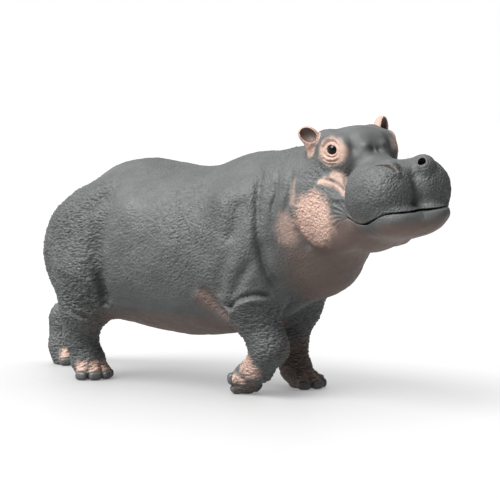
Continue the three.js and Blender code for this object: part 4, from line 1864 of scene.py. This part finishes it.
@dataclass(frozen=True)
class FloorFinish:
    """Pale floor with a painted glow, and a painted soft shadow near the animal, where ambient occlusion
    dims the glow.
    """

    roughness: float = 0.55
    specular: float = 0.1
    shade: Spread = (0.2, 0.95, 0.25, 0.70)
    reach: float = 1.6

    def material(self) -> bpy.types.Material:
        """Build the material."""
        n = Nodes("floor_painted_glow_and_shadow")
        # Painted light: the floor glows, though it is no lamp.
        n.shader.inputs["Emission Color"].default_value = (1, 1, 1, 1)
        n.shader.inputs["Base Color"].default_value = Tint.FLOOR.rgba
        # Painted shadow: ambient occlusion dims the floor's painted glow near the animal.
        painted_shadow_ao = n.add("ShaderNodeAmbientOcclusion", Distance=self.reach)
        glow = n.ramp(painted_shadow_ao.outputs["AO"], *self.shade)
        n.link(glow, n.shader.inputs["Emission Strength"])
        n.shader.inputs["Roughness"].default_value = self.roughness
        n.shader.inputs["Specular IOR Level"].default_value = self.specular
        return n.material


# ---------------------------------------------------------------- pieces

@dataclass(frozen=True)
class Placing:
    """The step from the making frame to the part's own frame."""

    step: Array

    @classmethod
    def by_eye(cls, head: Head) -> "Placing":
        """Find the step from the place of the left eye's node.

        Args:
            head: the head, whose left eye is known in the making frame.

        Returns:
            The placing.
        """
        low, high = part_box("eye_left")
        middle = (np.array(low) + np.array(high)) / 2
        return cls(middle - head.world(head.eye) * MM)

    def metres(self, p: Array) -> Array:
        """Points of the making frame in metres in the part's own frame."""
        return p * MM + self.step

    def piece(self, name: str, net: Net, marks: dict[str, Array],
              material: bpy.types.Material) -> bpy.types.Object:
        """Make a smooth piece of a net.

        Args:
            name: the piece's name.
            net: its points, in the making frame, and faces.
            marks: values at the points that its finish reads.
            material: its finish.

        Returns:
            The piece, riding on the body.
        """
        mesh = bpy.data.meshes.new(name)
        mesh.vertices.add(len(net.points))
        mesh.vertices.foreach_set("co", self.metres(net.points).astype(np.float32).ravel())
        corners = net.faces.shape[1]
        mesh.loops.add(net.faces.size)
        mesh.loops.foreach_set("vertex_index", net.faces.astype(np.int32).ravel())
        mesh.polygons.add(len(net.faces))
        mesh.polygons.foreach_set("loop_start", np.arange(0, net.faces.size, corners, dtype=np.int32))
        mesh.update(calc_edges=True)
        mesh.polygons.foreach_set("use_smooth", np.ones(len(net.faces), bool))
        for label, values in marks.items():
            layer = mesh.attributes.new(label, "FLOAT", "POINT")
            layer.data.foreach_set("value", values.astype(np.float32))
        mesh.materials.append(material)
        piece = bpy.data.objects.new(name, mesh)
        bpy.context.scene.collection.objects.link(piece)
        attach(piece, "root")
        LOG.info("%s: %d faces", name, len(net.faces))
        return piece


def globe(around: int, rows: int) -> Net:
    """A closed ball of radius one with its poles on the z axis, as triangles.

    Args:
        around: how many points round it.
        rows: how many rows from pole to pole.

    Returns:
        The ball's net.
    """
    fall, turn = np.meshgrid(np.linspace(0, math.pi, rows + 1)[1:-1],
                             np.arange(around) / around * 2 * math.pi, indexing="ij")
    ring = np.stack([np.sin(fall) * np.cos(turn), np.sin(fall) * np.sin(turn), np.cos(fall)], -1)
    points = np.vstack([ring.reshape(-1, 3), (0, 0, 1), (0, 0, -1)])
    top, bottom = len(points) - 2, len(points) - 1
    i = np.arange(around)
    after = (i + 1) % around
    faces = [np.stack([np.full(around, top), i, after], 1)]
    for row in range(rows - 2):
        a, b = row * around, (row + 1) * around
        faces += [np.stack([a + i, b + i, b + after], 1), np.stack([a + i, b + after, a + after], 1)]
    last = (rows - 2) * around
    faces.append(np.stack([last + after, last + i, np.full(around, bottom)], 1))
    return Net(points, np.concatenate(faces))


@dataclass(frozen=True)
class Eye:
    """An eyeball with a low cornea, looking out along the gaze."""

    side: str
    cornea: float = 1.6
    cornea_spread: float = 0.42
    around: int = 72
    rows: int = 48

    def build(self, head: Head, placing: Placing, material: bpy.types.Material) -> None:
        """Make the eyeball in place of its node.

        Args:
            head: the head that it sits in.
            placing: the step to the part's own frame.
            material: its finish.
        """
        net = globe(self.around, self.rows)
        fall = np.arccos(np.clip(net.points[:, 2], -1, 1))
        grown = head.eye_radius + self.cornea * bell(fall, self.cornea_spread)
        out, ahead, up = head.gaze_frame()
        local = (net.points * grown[:, None]) @ np.stack([ahead, up, out]) + np.array(head.eye)
        local[:, 1] *= SIDES[self.side]
        faces = net.faces if self.side == "left" else net.faces[:, ::-1]
        made = Net(head.world(local), faces)
        piece = placing.piece(f"eyeball_{self.side}", made, {"ring": fall / (math.pi / 2)}, material)
        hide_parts(f"eye_{self.side}")


@dataclass(frozen=True)
class Nail:
    """One broad, rounded nail with low growth ridges."""

    leg: Leg
    toe: int
    ridges: int = 7
    ridge_depth: float = 0.012
    squareness: Vec = (0.8, 0.68, 0.72)
    tip: tuple[float, float] = (0.3, -0.9)
    around: int = 48
    rows: int = 32

    def build(self, placing: Placing, material: bpy.types.Material) -> None:
        """Make the nail in place of its node.

        Args:
            placing: the step to the part's own frame.
            material: its finish.
        """
        foot = self.leg.foot
        centre, axes, radii = foot.nail_frame(foot.toes[self.toe])
        net = globe(self.around, self.rows)
        p = net.points
        squared = np.sign(p) * np.abs(p) ** np.array(self.squareness)
        waves = np.square(np.sin(p[:, 2] * self.ridges * math.pi / 2))
        ripple = 1 - self.ridge_depth * waves - self.ridge_depth
        world = (squared * ripple[:, None] * radii) @ axes.T + centre
        world[:, 2] = np.maximum(world[:, 2], 0)
        tip = smooth(*self.tip, p[:, 2])
        name = f"{self.leg.name}_{self.toe + 1}"
        piece = placing.piece(f"nail_horn_{name}", Net(world, net.faces), {"tip": tip}, material)
        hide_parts(f"nail_{name}")


@dataclass(frozen=True)
class Studio:
    """Pale floor, soft light and the camera."""

    aim: Vec = (0.45, 0.0, 0.836)
    azimuth: float = 34.0
    elevation: float = 4.4
    distance: float = 11.0
    lens: float = 131.47
    floor_size: float = 400.0
    softness: float = 40.0
    sensor: float = 36.0
    sight: float = 300.0
    main_place: tuple[float, float] = (-52, 53)
    main_strength: float = 7.8
    bright_ahead: float = 0.85
    bright_left: float = 0.5
    bright_above: float = 0.7
    sky_shade: Spread = (0.25, 0.61, 0.05, 1.0)

    def build(self, placing: Placing) -> None:
        """Set up the floor, the lights and the camera.

        Args:
            placing: the step to the part's own frame.
        """
        scene = bpy.context.scene
        scene.view_settings.view_transform = "Standard"
        self.floor()
        self.camera(Vector(self.aim) + Vector(placing.step))
        self.sky()
        self.sun()

    @staticmethod
    def back(azimuth: float, elevation: float) -> Vector:
        """The direction from the aim towards a place round it."""
        a, e = math.radians(azimuth), math.radians(elevation)
        return Vector((math.sin(a) * math.cos(e), -math.cos(a) * math.cos(e), math.sin(e)))

    def floor(self) -> None:
        """Lay the floor."""
        half = self.floor_size / 2
        corners = [(-half, -half, 0), (half, -half, 0), (half, half, 0), (-half, half, 0)]
        mesh = bpy.data.meshes.new("floor")
        mesh.from_pydata(corners, [], [(0, 1, 2, 3)])
        mesh.materials.append(FloorFinish().material())
        floor = bpy.data.objects.new("floor", mesh)
        bpy.context.scene.collection.objects.link(floor)

    def camera(self, aim: Vector) -> None:
        """Set the camera.

        Args:
            aim: the point in the middle of the frame.
        """
        data = bpy.data.cameras.new("camera")
        data.lens = self.lens
        data.sensor_width = self.sensor
        data.clip_end = self.sight
        camera = bpy.data.objects.new("camera", data)
        back = self.back(self.azimuth, self.elevation)
        camera.location = aim + back * self.distance
        camera.rotation_mode = "QUATERNION"
        camera.rotation_quaternion = (-back).to_track_quat("-Z", "Y")
        bpy.context.scene.collection.objects.link(camera)
        bpy.context.scene.camera = camera

    def sky(self) -> None:
        """Light the room: white behind and overhead, dim behind the camera."""
        world = bpy.data.worlds.new("room")
        bpy.context.scene.world = world
        world.use_nodes = True
        tree = world.node_tree
        place = tree.nodes.new("ShaderNodeTexCoord")
        dot = tree.nodes.new("ShaderNodeVectorMath")
        dot.operation = "DOT_PRODUCT"
        ahead = -self.back(self.azimuth, 0)
        turn = math.radians(self.azimuth)
        left = -Vector((math.cos(turn), math.sin(turn), 0))
        bright = ahead * self.bright_ahead + left * self.bright_left + Vector((0, 0, self.bright_above))
        dot.inputs[1].default_value = bright.normalized()
        ramp = tree.nodes.new("ShaderNodeMapRange")
        for slot, value in enumerate(self.sky_shade, start=1):
            ramp.inputs[slot].default_value = value
        tree.links.new(place.outputs["Generated"], dot.inputs[0])
        tree.links.new(dot.outputs["Value"], ramp.inputs[0])
        tree.links.new(ramp.outputs[0], tree.nodes["Background"].inputs["Strength"])
        tree.nodes["Background"].inputs["Color"].default_value = (1, 1, 1, 1)

    def sun(self) -> None:
        """Hang the soft main light, aside from the camera and above it."""
        data = bpy.data.lights.new("main_light", "SUN")
        data.energy = self.main_strength
        data.angle = math.radians(self.softness)
        lamp = bpy.data.objects.new("main_light", data)
        aside, above = self.main_place
        back = self.back(self.azimuth + aside, above)
        lamp.rotation_mode = "QUATERNION"
        lamp.rotation_quaternion = (-back).to_track_quat("-Z", "Y")
        bpy.context.scene.collection.objects.link(lamp)


FLESH_NODES = ("head", "lower_jaw", "ear_left", "ear_right", "neck", "trunk", "tail",
               "foreleg_left", "foreleg_right", "hindleg_left", "hindleg_right",
               "forefoot_left", "forefoot_right", "hindfoot_left", "hindfoot_right")


def main() -> None:
    """Build the animal and its studio."""
    skin = Skin()
    placing = Placing.by_eye(skin.head)
    LOG.info("step to the part's frame: %s", np.round(placing.step, 5))
    net = skin.sculpt(CELL)
    # The relief is lowered in the folds' hollows, where the finish paints shade.
    relief = skin.carved(net)
    marks = {**Markings(skin).on(net), "relief": relief}
    hide = placing.piece("hide", net, marks, HideFinish().material())
    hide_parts(*FLESH_NODES)
    eye_finish, horn = EyeFinish().material(), HornFinish().material()
    for side in SIDES:
        Eye(side).build(skin.head, placing, eye_finish)
    for leg in skin.legs:
        for toe in range(len(leg.foot.toes)):
            Nail(leg, toe).build(placing, horn)
    Studio().build(placing)


if __name__ == "__main__":
    logging.basicConfig(level=logging.INFO, format="%(name)s: %(message)s")
    main()
